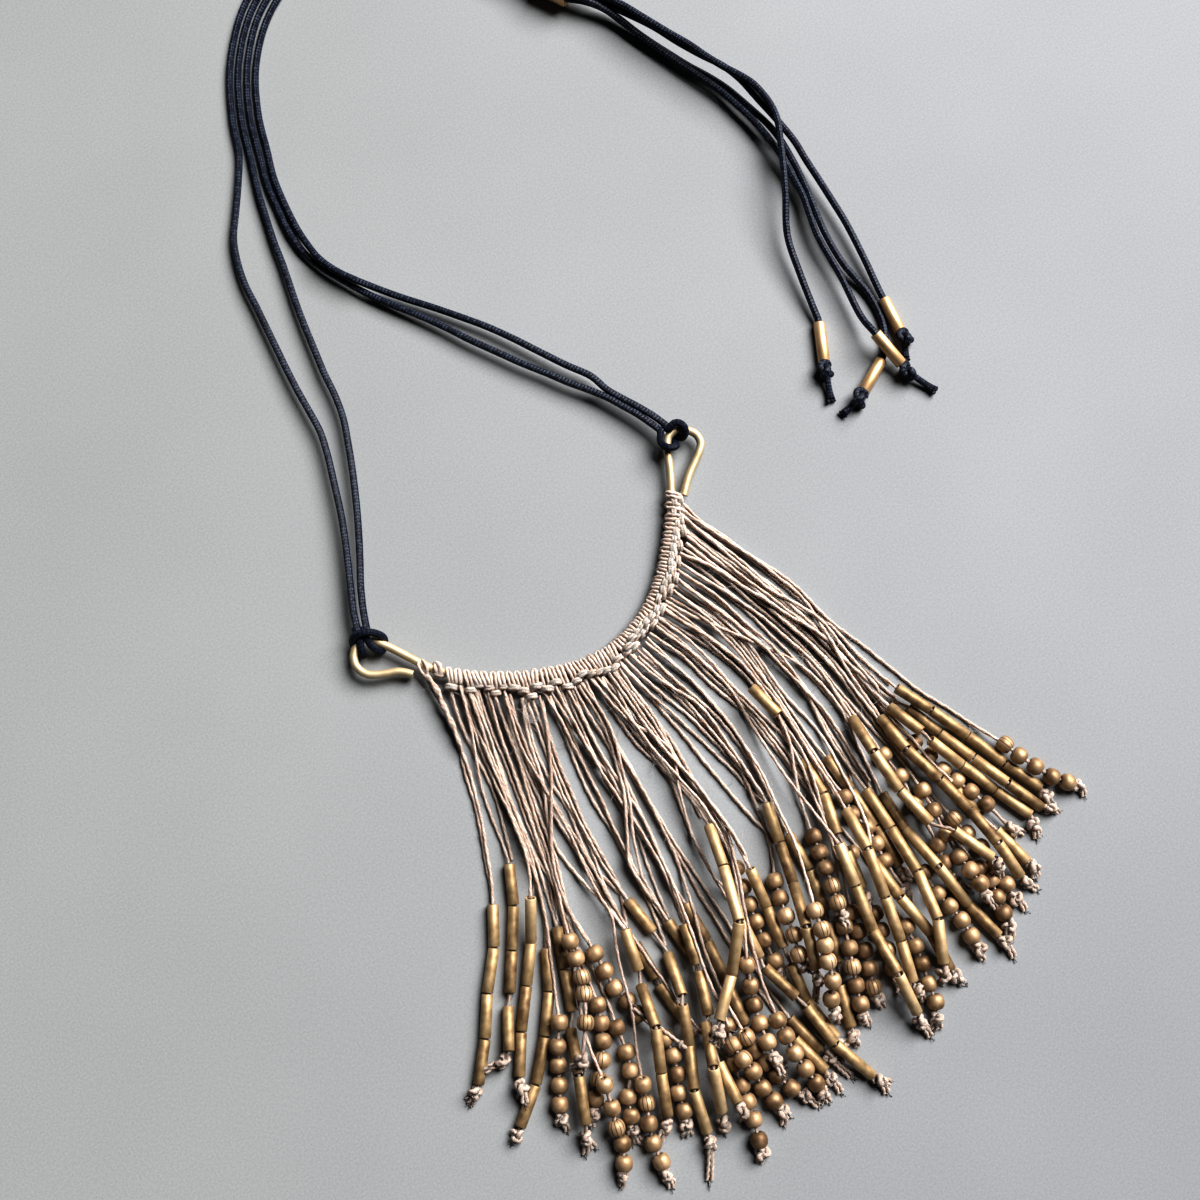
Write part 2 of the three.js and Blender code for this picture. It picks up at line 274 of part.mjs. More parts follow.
// Cord legs, in the order in which they lie: x, y and how high the cord is held at the least.
// After the slider each leg is a free tail, with a tube bead and a knot at its end.
const cords = [
  { node: 'right_inner_cord', tube: 'end_tube_c',
    route: [[34.4, 14.6, 3.1], [33.9, 16.5, 2.6], [32.5, 19.5, 1.4], [30, 24, 0.7], [27, 28, 0.7],
      [24.5, 31.5, 0.7], [22, 35.5, 0.7], [19, 40, 0.7], [16, 45, 0.7], [13, 50, 0.7],
      [10.3, 55, 0.7], [7.3, 60, 0.7], [4, 65, 0.7], [1, 70, 0.7], [-1.5, 75, 0.7],
      [-3.7, 80, 0.7], [-5, 85, 0.7], [-5.2, 90, 0.7], [-4.4, 96, 0.7], [-3.4, 102, 0.7],
      [-1.2, 109, 0.7], [1.5, 117, 0.7], [7, 127, 0.7], [15.5, 136, 0.7], [25, 140.5, 0.7],
      [35, 140.4, 0.7], [44, 136, 0.8], [51.5, 128, 1], [57.5, 118, 1.4], [61.1, 111.5, 2.05],
      [63.8, 107.8, 2.05], [66.8, 104, 2.05], [69.9, 100, 2.05], [73, 95.5, 2], [76.5, 88, 1.9], [80, 79, 2],
      [84.5, 69, 2.3], [87, 59, 2.6], [87.7, 50, 3], [86.5, 40, 3], [85, 30, 2.4],
      [84.8, 22, 1.6], [85.6, 14, 0.9], [84.2, 7, 0.8], [81.5, 3, 1.2]],
    end: [[79.5, 1.3], [72.3, -2.3], [71, -3, 1.7], [67, -3.6]] },
  { node: 'left_inner_cord', tube: 'end_tube_d',
    route: [[-35.5, 12.9, 3], [-34.2, 15.5, 2.4], [-31.5, 20, 1.2], [-28.5, 25, 0.7],
      [-25.5, 30, 0.7], [-23, 35, 0.7], [-20.7, 40, 0.7], [-18.6, 45, 0.7], [-16.7, 50, 0.7],
      [-15.6, 55, 0.7], [-15, 60, 0.7], [-14.1, 65, 0.7], [-13.2, 70, 0.7], [-12.2, 75, 0.7],
      [-11, 80, 0.7], [-9.8, 85, 0.7], [-8.8, 90, 0.7], [-7.5, 95, 0.7], [-5.9, 101, 0.7],
      [-3, 109.5, 0.7], [-0.2, 117.6, 0.7], [5.6, 128.2, 0.7], [14.7, 137.7, 0.7],
      [24.8, 142.4, 0.7], [35.5, 142.2, 0.7], [45.2, 137.5, 0.8], [53, 129.2, 1], [59, 119, 1.4],
      [62.5, 112.6, 2.05], [65.1, 108.9, 2.05], [68.2, 105, 2.05], [71.2, 101.1, 2.05],
      [74.6, 96.6, 2.1],
      [79.5, 88, 2.4], [84, 77, 1.9], [88.3, 69, 2], [89.9, 60, 2.4], [90.4, 50, 2.6],
      [90.3, 40, 2.6], [89.8, 30, 2.4], [88.9, 21, 2], [87.7, 14, 1.4]],
    end: [[87.3, 11.6], [86.2, 4.3], [86, 2.4, 1.6], [84, -0.8]] },
  { node: 'right_outer_cord', tube: 'end_tube_b',
    route: [[35.7, 14.9, 3], [35.2, 17, 2.4], [33.9, 21, 1], [31.6, 25.5, 0.7], [29, 30, 0.7],
      [26, 35, 0.7], [23, 40.5, 0.7], [20.3, 45.5, 0.7], [17.3, 50.5, 0.7], [13.8, 55.5, 0.7],
      [10.5, 60, 0.7], [7, 64.5, 0.7], [4, 68.5, 0.7], [0.5, 73, 0.7], [-1.8, 77, 0.7],
      [-3.2, 81, 0.7], [-3.5, 85, 0.7], [-3.4, 90, 0.7], [-2.7, 96, 0.7], [-1.6, 102, 0.7],
      [0.5, 108.3, 0.7], [3.2, 116.3, 0.7], [8.5, 126, 0.7], [16.6, 134.3, 0.7],
      [25.2, 138.6, 0.7], [34.5, 138.6, 0.7], [42.8, 134.5, 0.8], [50, 126.8, 1],
      [56, 117, 1.8], [60.6, 110.8, 3.2], [63.8, 107.8, 3.75], [66.8, 104, 3.75],
      [69.9, 100, 3.75], [72.2, 95.2, 3.4], [75.6, 86.4, 2.6], [78.6, 78.4, 2], [83, 68.4, 2], [85.4, 58.6, 2.2],
      [86, 50, 2.5], [84.9, 40, 3], [83.6, 30, 3], [82.4, 20, 2.9], [80.8, 10.5, 3]],
    end: [[80.6, 5.8], [82, -1.7], [82.3, -3.6, 1.6], [84.8, -9.5]] },
  { node: 'left_outer_cord', tube: 'end_tube_a',
    route: [[-37, 12.9, 3.1], [-35.9, 15.9, 2.4], [-34, 20, 1.2], [-31.7, 25, 0.7],
      [-29.3, 30, 0.7], [-27, 35, 0.7], [-25, 40, 0.7], [-23.3, 45, 0.7], [-22, 50, 0.7],
      [-21.6, 55, 0.7], [-21.3, 60, 0.7], [-20.8, 65, 0.7], [-20.2, 70, 0.7], [-19.6, 75, 0.7],
      [-19, 80, 0.7], [-18.5, 85, 0.7], [-17.3, 90, 0.7], [-15.3, 95, 0.7], [-11.8, 100, 0.7],
      [-8.3, 105, 0.7], [-4.9, 110.4, 0.7], [-1.9, 118.2, 0.7], [4.2, 129.3, 0.7],
      [13.9, 139.4, 0.7], [24.5, 144.2, 0.7], [36, 144, 0.7], [46.4, 139, 0.8],
      [54.6, 130.4, 1], [60.5, 120, 1.8], [63.5, 112.8, 3.3], [65.1, 108.9, 3.75],
      [68.2, 105, 3.75], [71.2, 101.1, 3.75], [75.4, 97.2, 3.3], [81, 88.5, 2], [85.5, 77, 1.8], [90, 67.5, 2.4], [91.7, 60, 3.6],
      [90, 53, 5.2], [86.5, 47, 5.6], [82.5, 40, 5], [78.3, 33, 3.4], [76, 25, 2.4],
      [74.4, 18, 1.6]],
    end: [[73.6, 14.6], [69.7, 7.3], [68.8, 5.6, 1.6], [66.5, 0.2]] },
];

// ---- solids ---------------------------------------------------------------------------------
// A geometry as a solid of the boolean library, and back.
function solid(geometry) {
  const bare = geometry.index ? geometry.toNonIndexed() : geometry.clone();
  const shape = new THREE.BufferGeometry();
  shape.setAttribute('position', bare.getAttribute('position'));
  const merged = mergeVertices(shape, 1e-3);
  return new wasm.Manifold(new wasm.Mesh({
    numProp: 3,
    vertProperties: new Float32Array(merged.attributes.position.array),
    triVerts: new Uint32Array(merged.index.array),
  }));
}

function geometryOf(made) {
  const mesh = made.getMesh();
  const positions = [];
  for (let v = 0; v < mesh.vertProperties.length; v += mesh.numProp) {
    positions.push(...mesh.vertProperties.slice(v, v + 3));
  }
  const geometry = new THREE.BufferGeometry();
  geometry.setAttribute('position', new THREE.Float32BufferAttribute(positions, 3));
  geometry.setIndex([...mesh.triVerts]);
  geometry.computeVertexNormals();
  return geometry;
}

// Rings of points, each of the same count, skinned into one closed body with flat ends.
function skin(rings) {
  const count = rings[0].length;
  const positions = rings.flat().flatMap((p) => [p.x, p.y, p.z]);
  const index = [];
  for (let r = 0; r < rings.length - 1; r += 1) {
    for (let k = 0; k < count; k += 1) {
      const a = r * count + k;
      const b = r * count + ((k + 1) % count);
      index.push(a, b, b + count, a, b + count, a + count);
    }
  }
  const last = (rings.length - 1) * count;
  for (let k = 1; k < count - 1; k += 1) {
    index.push(0, k + 1, k);
    index.push(last, last + k, last + k + 1);
  }
  const geometry = new THREE.BufferGeometry();
  geometry.setAttribute('position', new THREE.Float32BufferAttribute(positions, 3));
  geometry.setIndex(index);
  geometry.computeVertexNormals();
  return geometry;
}

// The level side and the upward direction of a route at one of its points.
function across(points, i) {
  const before = points[Math.max(i - 1, 0)];
  const after = points[Math.min(i + 1, points.length - 1)];
  const ahead = after.clone().sub(before).normalize();
  const side = new THREE.Vector3(-ahead.y, ahead.x, 0).normalize();
  return { side, up: ahead.clone().cross(side).normalize() };
}

// A rod along stations { p, r }, with a corner of its section at the top and the bottom.
function rod(stations, sides) {
  const points = stations.map((s) => s.p);
  return skin(stations.map((s, i) => {
    const { side, up } = across(points, i);
    return Array.from({ length: sides }, (_, k) => {
      const turn = (2 * Math.PI * k) / sides;
      return s.p.clone()
        .addScaledVector(side, s.r * Math.sin(turn))
        .addScaledVector(up, -s.r * Math.cos(turn));
    });
  }));
}

const smooth = (points) => new THREE.CatmullRomCurve3(points, false, 'centripetal');

// A smooth curve that never dips under the height at which a cord lies on the table.
function cordCurve(points) {
  const curve = smooth(points);
  const free = curve.getPoint.bind(curve);
  curve.getPoint = (t, target) => {
    const p = free(t, target);
    p.z = Math.max(p.z, cordRadius);
    return p;
  };
  return curve;
}

// ---- laying one thing over another ------------------------------------------------------------
const laid = [];
const cell = 4;
const cellKey = (x, y) => `${Math.floor(x / cell)},${Math.floor(y / cell)}`;
const grid = new Map();

function putDown(sample) {
  laid.push(sample);
  const key = cellKey(sample.x, sample.y);
  if (!grid.has(key)) grid.set(key, []);
  grid.get(key).push(sample);
}

// How high the centre of a ball of this radius must be at x, y to clear what lies there.
function restHeight(x, y, radius, node) {
  let z = radius;
  for (const dx of [-cell, 0, cell]) {
    for (const dy of [-cell, 0, cell]) {
      for (const s of grid.get(cellKey(x + dx, y + dy)) ?? []) {
        const reach = radius + s.r + clearance;
        const apart = (x - s.x) ** 2 + (y - s.y) ** 2;
        if (s.node !== node && apart < reach * reach) {
          z = Math.max(z, s.z + Math.sqrt(reach * reach - apart));
        }
      }
    }
  }
  return z;
}

// Raises the joints { x, y, r, least, kind } of a route until each stretch clears everything
// put down before; then puts the route down itself. A row that shares a node with an earlier
// one, and starts on it, starts at its height.
function lay(joints, node) {
  const heights = joints.map((j) => Math.max(j.least ?? 0, restHeight(j.x, j.y, j.r, node)));
  const { x: startX, y: startY } = joints[0];
  const shared = laid.find((s) => s.node === node && Math.hypot(s.x - startX, s.y - startY) < 0.1);
  const stretches = joints.slice(1).map((b, i) => {
    const a = joints[i];
    const length = Math.hypot(b.x - a.x, b.y - a.y);
    const joined = a.kind === b.kind && !b.opens && a.kind !== 'round';
    const r = joined ? Math.min(a.r, b.r) : threadReach;
    return { a, b, length, steps: Math.max(2, Math.ceil(length / layStep)), r };
  });
  const along = (s, k) => [s.a.x + (s.b.x - s.a.x) * k, s.a.y + (s.b.y - s.a.y) * k];
  for (let pass = 0; pass < layPasses; pass += 1) {
    stretches.forEach((s, i) => {
      for (let k = 1; k < s.steps; k += 1) {
        const t = k / s.steps;
        const now = heights[i] + (heights[i + 1] - heights[i]) * t;
        const lack = restHeight(...along(s, t), s.r, node) - now;
        const share = Math.max(lack, 0) / ((1 - t) ** 2 + t ** 2);
        heights[i] += share * (1 - t);
        heights[i + 1] += share * t;
      }
    });
  }
  for (let i = 1; i < joints.length; i += 1) {
    heights[i] = Math.max(heights[i], heights[i - 1] - steepest * stretches[i - 1].length);
  }
  for (let i = joints.length - 2; i >= 0; i -= 1) {
    heights[i] = Math.max(heights[i], heights[i + 1] - steepest * stretches[i].length);
  }
  if (shared) heights[0] = shared.z;
  joints.forEach((j, i) => putDown({ x: j.x, y: j.y, z: heights[i], r: j.r, node }));
  stretches.forEach((s, i) => {
    for (let k = 1; k < s.steps; k += 1) {
      const t = k / s.steps;
      const [x, y] = along(s, t);
      putDown({ x, y, z: heights[i] + (heights[i + 1] - heights[i]) * t, r: s.r, node });
    }
  });
  return heights;
}

// ---- the parts ----------------------------------------------------------------------------------
const wireCurve = smooth(wireRoute.map(([x, y]) => new THREE.Vector3(x, y, wireHeight(y))));
const wireSteps = 44;

function wireRod(radius, first, last, steps) {
  const stations = Array.from({ length: steps + 1 }, (_, i) => {
    const at = first + ((last - first) * i) / steps;
    return { p: wireCurve.getPoint(at), r: radius };
  });
  return rod(stations, wireSides);
}

const knotStart = knotted.first / (wireRoute.length - 1);
const knotEnd = knotted.last / (wireRoute.length - 1);
const bandSteps = 18;

function knotBand() {
  const points = Array.from({ length: bandSteps + 1 }, (_, i) =>
    wireCurve.getPoint(knotStart + ((knotEnd - knotStart) * i) / bandSteps));
  const rings = points.map((p, i) => {
    const { side } = across(points, i);
    return bandSection.map(({ out, up, rides }) =>
      new THREE.Vector3(p.x - side.x * out, p.y - side.y * out, rides ? p.z + up : up));
  });
  return skin(rings);
}

function lockSolid({ from, to, route }) {
  const points = route.map(([x, y]) => new THREE.Vector3(x, y, 0));
  const rings = points.map((p, i) => {
    const { side } = across(points, i);
    const half = (from + ((to - from) * i) / (points.length - 1)) / 2;
    const edge = 0.2;
    return [[-half, 0], [edge - half, lockThickness], [half - edge, lockThickness], [half, 0]]
      .map(([out, up]) => new THREE.Vector3(p.x - side.x * out, p.y - side.y * out, up));
  });
  return skin(rings);
}

function putDownLock({ from, to, route }) {
  for (let i = 0; i < route.length - 1; i += 1) {
    const [x0, y0] = route[i];
    const [x1, y1] = route[i + 1];
    const length = Math.hypot(x1 - x0, y1 - y0);
    const steps = Math.ceil(length / layStep);
    const r = lockThickness / 2;
    for (let k = 0; k <= steps; k += 1) {
      const t = k / steps;
      const half = (from + ((to - from) * (i + t)) / (route.length - 1)) / 2 - r;
      for (const out of [-half, -half / 2, 0, half / 2, half]) {
        const x = x0 + (x1 - x0) * t - ((y1 - y0) / length) * out;
        const y = y0 + (y1 - y0) * t + ((x1 - x0) / length) * out;
        putDown({ x, y, z: r, r, node: 'fringe_head' });
      }
    }
  }
}

// A string's joints in order, from its lock to its knot, with the radius that each has.
function stringJoints({ kind, lead, beads, knot }) {
  const thread = (x, y, r = threadRadius) => ({ x, y, r, kind: 'thread' });
  const joints = lead.map(([x, y]) => thread(x, y));
  if (kind === 'round') beads.forEach(([x, y]) => joints.push({ x, y, r: roundBeadRadius, kind }));
  else {
    beads.forEach((run, i) => run.forEach(([x, y], k) =>
      joints.push({ x, y, r: tubeBeadRadius, kind, opens: k === 0 && (i > 0 || lead.length > 0) })));
  }
  if (knot) joints.push({ x: knot[0], y: knot[1], r: knot[2], kind: 'knot' });
  return joints;
}

// Where the thread shows between two joints, as distances from the first: a ball hides it for
// about its own radius, and a tube up to its end.
function threadStops(a, b, length) {
  const hidden = (j) => (j.kind === 'tube' ? 0 : 1.05 * j.r);
  const stops = [];
  if (a.kind !== 'thread') stops.push(hidden(a));
  if (b.kind !== 'thread') stops.push(length - hidden(b));
  const near = stops.length === 2 && stops[1] - stops[0] < 1;
  return near ? [(stops[0] + stops[1]) / 2] : stops;
}

// Rings along a string: balls are widest at their joint, and a tube runs from joint to joint,
// a little narrower at its far end, so that the next one shows.
function stringStations(joints, heights) {
  const stations = [];
  joints.forEach((j, i) => {
    const p = new THREE.Vector3(j.x, j.y, heights[i]);
    if (j.kind !== 'tube') stations.push({ p, r: j.r });
    const next = joints[i + 1];
    if (!next) return;
    const q = new THREE.Vector3(next.x, next.y, heights[i + 1]);
    if (j.kind === 'tube' && next.kind === 'tube' && !next.opens) {
      stations.push({ p: p.clone().lerp(q, 0.03), r: j.r }, { p: p.clone().lerp(q, 0.97), r: tubeFarRadius });
      return;
    }
    const length = p.distanceTo(q);
    threadStops(j, next, length).forEach((stop) =>
      stations.push({ p: p.clone().lerp(q, stop / length), r: neckRadius }));
  });
  return stations;
}

// Two turns of cord round the wire, as one ring about the wire's direction there.
function hitch(x, y, along, width) {
  const outer = wireRadius + clearance + 2 * cordRadius;
  const half = width / 2;
  const bevel = 0.4;
  const profile = [[0, -half], [outer - bevel, -half], [outer, bevel - half],
    [outer, half - bevel], [outer - bevel, half], [0, half]];
  const ring = new THREE.LatheGeometry(profile.map(([r, h]) => new THREE.Vector2(r, h)), 8);
  ring.rotateZ(THREE.MathUtils.degToRad(along) - Math.PI / 2);
  ring.translate(x, y, wireHeight(y));
  return geometryOf(solid(ring).subtract(wireWay));
}

function sleeve(a, b, inner, outer, sides) {
  const shape = new THREE.Shape();
  const hole = new THREE.Path();
  for (let k = 0; k <= sides; k += 1) {
    const turn = (2 * Math.PI * k) / sides;
    const [c, s] = [Math.cos(turn), Math.sin(turn)];
    if (k === 0) {
      shape.moveTo(outer * c, outer * s);
      hole.moveTo(inner * c, inner * s);
    } else {
      shape.lineTo(outer * c, outer * s);
      hole.lineTo(inner * c, inner * s);
    }
  }
  shape.holes.push(hole);
  return new THREE.ExtrudeGeometry(shape, { steps: 1, extrudePath: new THREE.LineCurve3(a, b) });
}

function roundSection(radius, sides) {
  const corner = (k) => {
    const turn = (2 * Math.PI * k) / sides;
    return new THREE.Vector2(radius * Math.cos(turn), radius * Math.sin(turn));
  };
  return new THREE.Shape(Array.from({ length: sides }, (_, k) => corner(k)));
}

// ---- assembly --------------------------------------------------------------------------------
const necklace = new THREE.Group();
necklace.position.set(-barMiddle.x, -barMiddle.y, 0);

function add(name, geometry, material) {
  const mesh = new THREE.Mesh(geometry, material());
  mesh.name = name;
  necklace.add(mesh);
}

add('bar_wire', wireRod(wireRadius, 0, 1, wireSteps), brightBrass);

const wireWay = solid(wireRod(wireRadius + clearance, 0, 1, wireSteps));
const fringeHead = locks
  .reduce((head, lock) => head.add(solid(lockSolid(lock))), solid(knotBand()))
  .subtract(wireWay);
add('fringe_head', geometryOf(fringeHead), taupeThread);
locks.forEach(putDownLock);

const stringSolids = new Map();
for (const row of strings) {
  const joints = stringJoints(row);
  const heights = lay(joints, row.node);
  const made = solid(rod(stringStations(joints, heights), beadSides));
  const before = stringSolids.get(row.node);
  stringSolids.set(row.node, before ? before.add(made) : made);
}
for (const [name, made] of stringSolids) add(name, geometryOf(made), agedBrass);

add('left_hitch', hitch(-37, 10, -12, 3), darkCord);
add('right_hitch', hitch(35.9, 11.95, 22, 2.8), darkCord);

const sliderEnd = (sign) => {
  const turn = THREE.MathUtils.degToRad(slider.heading);
  const half = (sign * slider.length) / 2;
  return new THREE.Vector3(
    slider.x + half * Math.cos(turn), slider.y + half * Math.sin(turn), slider.outer);
};
add('cord_slider', sleeve(sliderEnd(-1), sliderEnd(1), slider.inner, slider.outer, 10), brightBrass);

function cordLeg({ node, tube, route, end }) {
  const [tubeStart, tubeEnd, knot, tail] = end;
  const joints = route.map(([x, y, least]) => ({ x, y, least, r: cordRadius }));
  joints.push({ x: tubeStart[0], y: tubeStart[1], r: endTube.outer });
  joints.push({ x: tubeEnd[0], y: tubeEnd[1], r: endTube.outer });
  joints.push({ x: knot[0], y: knot[1], r: knot[2] });
  joints.push({ x: tail[0], y: tail[1], r: cordRadius });
  const heights = lay(joints, node);
  const at = joints.map((j, i) => new THREE.Vector3(j.x, j.y, heights[i]));
  const n = route.length;
  const [a, b, k, t] = at.slice(n);
  const ahead = b.clone().sub(a).normalize();
  const leg = new THREE.ExtrudeGeometry(roundSection(cordRadius, cordSides), {
    steps: cordSteps,
    extrudePath: cordCurve([...at.slice(0, n), a.clone().addScaledVector(ahead, -clearance)]),
  });
  const toKnot = k.clone().sub(b).normalize();
  const toTail = t.clone().sub(k).normalize();
  const core = rod([
    { p: a.clone().addScaledVector(ahead, -1.2), r: endTube.core },
    { p: b.clone().addScaledVector(ahead, 0.3), r: endTube.core },
    { p: k.clone().addScaledVector(toKnot, -0.6), r: knot[2] },
    { p: k.clone().addScaledVector(toTail, 0.6), r: knot[2] },
    { p: k.clone().addScaledVector(toTail, knot[2] + 0.2), r: cordRadius },
    { p: t, r: cordRadius + 0.1 },
  ], 6);
  add(node, geometryOf(solid(leg).add(solid(core))), darkCord);
  add(tube, sleeve(a, b, endTube.inner, endTube.outer, 6), brightBrass);
}
cords.forEach(cordLeg);

export default necklace;
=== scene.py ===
"""A bar necklace lying on a table: a brass wire bar with two eyes, a knotted thread fringe with
strings of brass beads, and a doubled cord from each eye through a brass slider.
Charts and sizes are in millimetres, with x along the bar and y towards the cords. What lies over
what comes from laying every string and cord down in the charts' order, as for the plain model."""
import math
import random

import bpy
import numpy as np
from mathutils import Matrix, Vector


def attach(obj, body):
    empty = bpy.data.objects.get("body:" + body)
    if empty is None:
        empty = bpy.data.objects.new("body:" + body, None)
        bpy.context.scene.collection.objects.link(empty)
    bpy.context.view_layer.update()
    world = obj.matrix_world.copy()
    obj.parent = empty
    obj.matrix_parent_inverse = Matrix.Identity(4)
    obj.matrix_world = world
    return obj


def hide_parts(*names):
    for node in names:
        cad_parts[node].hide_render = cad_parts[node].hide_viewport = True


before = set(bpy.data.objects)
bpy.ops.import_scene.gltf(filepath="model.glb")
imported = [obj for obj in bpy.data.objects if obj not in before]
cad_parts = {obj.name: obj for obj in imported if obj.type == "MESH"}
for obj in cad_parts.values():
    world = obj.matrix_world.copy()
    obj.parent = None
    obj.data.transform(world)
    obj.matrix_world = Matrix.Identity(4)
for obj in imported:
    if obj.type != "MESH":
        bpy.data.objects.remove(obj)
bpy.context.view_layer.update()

# ---- sizes, in millimetres ----------------------------------------------------------------------
MM = 0.001
BAR_MIDDLE = np.array([0.0, -18.1, 0.0])
UP = np.array([0, 0, 1.0])
WIRE_RADIUS = 0.65
CORD_RADIUS = 0.7
TUBE_RADIUS = 1.05
ROUND_RADIUS = 1.6
THREAD_RADIUS = 0.39
END_TUBE = {"inner": 0.85, "outer": 1.2}
SLIDER = {"x": 67.5, "y": 104.5, "heading": -52, "length": 8, "inner": 2.4, "outer": 2.9}
KNOTTED = (17, 31)      # the points of the wire's route between which the threads are knotted

# The plain model's strings and cords are laid over each other with a gap.
CLEARANCE = 0.3
LOCK_THICKNESS = 1.0
THREAD_REACH = 0.5      # the least radius that a bare stretch of string is laid with
LAY_STEP = 0.6
LAY_PASSES = 2
STEEPEST = 0.5          # the most that a string falls or climbs per millimetre

# The fine threads press into each other a little, and leave the band at a height of their own.
THREAD_GAP = -0.16
STRAND_STEP = 0.7
STRAND_FALL = 0.1
STRAND_CLIMB = 0.22
UNDER_HEIGHT = 1.6
OVER_HEIGHT = 1.8
STRUNG_STEP = 0.8       # between the balls that stand for a strung stretch

# Sizes that only the drawn pieces have.
DRAWN_WIRE_RADIUS = WIRE_RADIUS + 0.16
HITCH_RADIUS = 0.74
CORD_KNOT_RADIUS = 0.64
LOOP_RADIUS = 0.38
BAND_KNOT_RADIUS = 0.48
LOWER_KNOT_HEIGHT = 1.9
UPPER_KNOT_HEIGHT = 2.4
TWIST_RADIUS = 0.7
END_KNOT_RADIUS = 0.42
FIBRE_RADIUS = 0.045
TUBE_BEAD_LENGTH = 8
TUBE_BEAD_GAP = 0.25
UNTWISTED = 1000        # a twist so long that it doesn't show
SLIDER_SHIFT = (1.77, 1.6)
SLIDER_TURN = -9

# ---- charts: x and y on the table ---------------------------------------------------------------
WIRE_ROUTE = [
    (-32.4, -1.2), (-33.3, -0.2), (-34.6, 0.9), (-36.2, 1.6), (-38.3, 2.6), (-40, 3.8), (-40.9, 5.2),
    (-41.1, 6.8), (-40.5, 8.2), (-39.3, 9.2), (-38.2, 9.9), (-37, 10), (-35.5, 9), (-34.6, 7.6),
    (-33.3, 5.6), (-31.7, 2.8), (-30.3, 0.3), (-28.9, -2), (-27.5, -3.8), (-25.8, -5.6), (-20.7, -9.7),
    (-15.6, -12.9), (-10.4, -15.4), (-5, -17.2), (0, -18.1), (5, -17.7), (9.5, -16.5), (14, -14.3),
    (18, -11.3), (21.5, -8), (25, -4.1), (27.3, -1), (29.2, 1.9), (31.4, 5.5), (33, 8.6), (34.2, 10.6),
    (35.3, 11.8), (36.6, 12.1), (37.9, 11.9), (39, 11), (39.9, 9.8), (40.2, 8.6), (39.9, 7.2),
    (38.6, 5.9), (36.5, 4.5), (34.5, 3.2), (32.8, 1.8), (31.2, 0.3),
]

# Where the threads lie locked together: start and end width, then the route from the band.
LOCKS = [
    (1.2, 1.2, [(-30, -2.8), (-32.1, -16), (-38, -36)]),
    (2, 1.6, [(-27.2, -6), (-31, -22.2), (-35.3, -38.5)]),
    (2.6, 2.4, [(-24, -9), (-28.2, -25.5), (-32, -44)]),
    (3, 2.8, [(-20.8, -11.5), (-24.4, -26.5), (-28, -44)]),
    (2.6, 2.4, [(-18, -13.5), (-21.9, -29), (-23.7, -47)]),
    (2.4, 2.2, [(-15.2, -15.5), (-19, -32.5), (-20.8, -48)]),
    (2.8, 2.6, [(-12, -17), (-15.2, -32.5), (-16.9, -50)]),
    (2, 1.8, [(-9.4, -18), (-12.1, -33), (-12.7, -51)]),
    (2.4, 2, [(-6.4, -19), (-7.6, -32.5), (-8.6, -49)]),
    (3, 2.6, [(-3, -19.9), (-2.9, -35), (-3.6, -50)]),
    (3, 2.6, [(0.6, -20.2), (0.7, -35.5), (0.8, -51)]),
    (3.2, 2.6, [(4, -20), (7.2, -35.5), (9.2, -51)]),
    (2.8, 2.4, [(7.8, -18.8), (11.7, -34), (13.4, -49)]),
    (2.8, 2.6, [(10.8, -17.8), (15.8, -33.5), (18, -49)]),
    (3.4, 3, [(14.4, -15.8), (20.1, -32), (22, -47)]),
    (3, 2.6, [(18.2, -13), (23.6, -29), (24.8, -48)]),
    (3, 2.6, [(21.2, -10.3), (26.5, -26.5), (28.6, -47)]),
    (3, 2.8, [(24, -7.5), (29.8, -25), (33.6, -45)]),
    (3, 2.8, [(26.8, -4.6), (33.2, -23.5), (38.4, -46)]),
    (2.4, 1.8, [(29.2, -1.9), (35.9, -20), (41.2, -40)]),
]

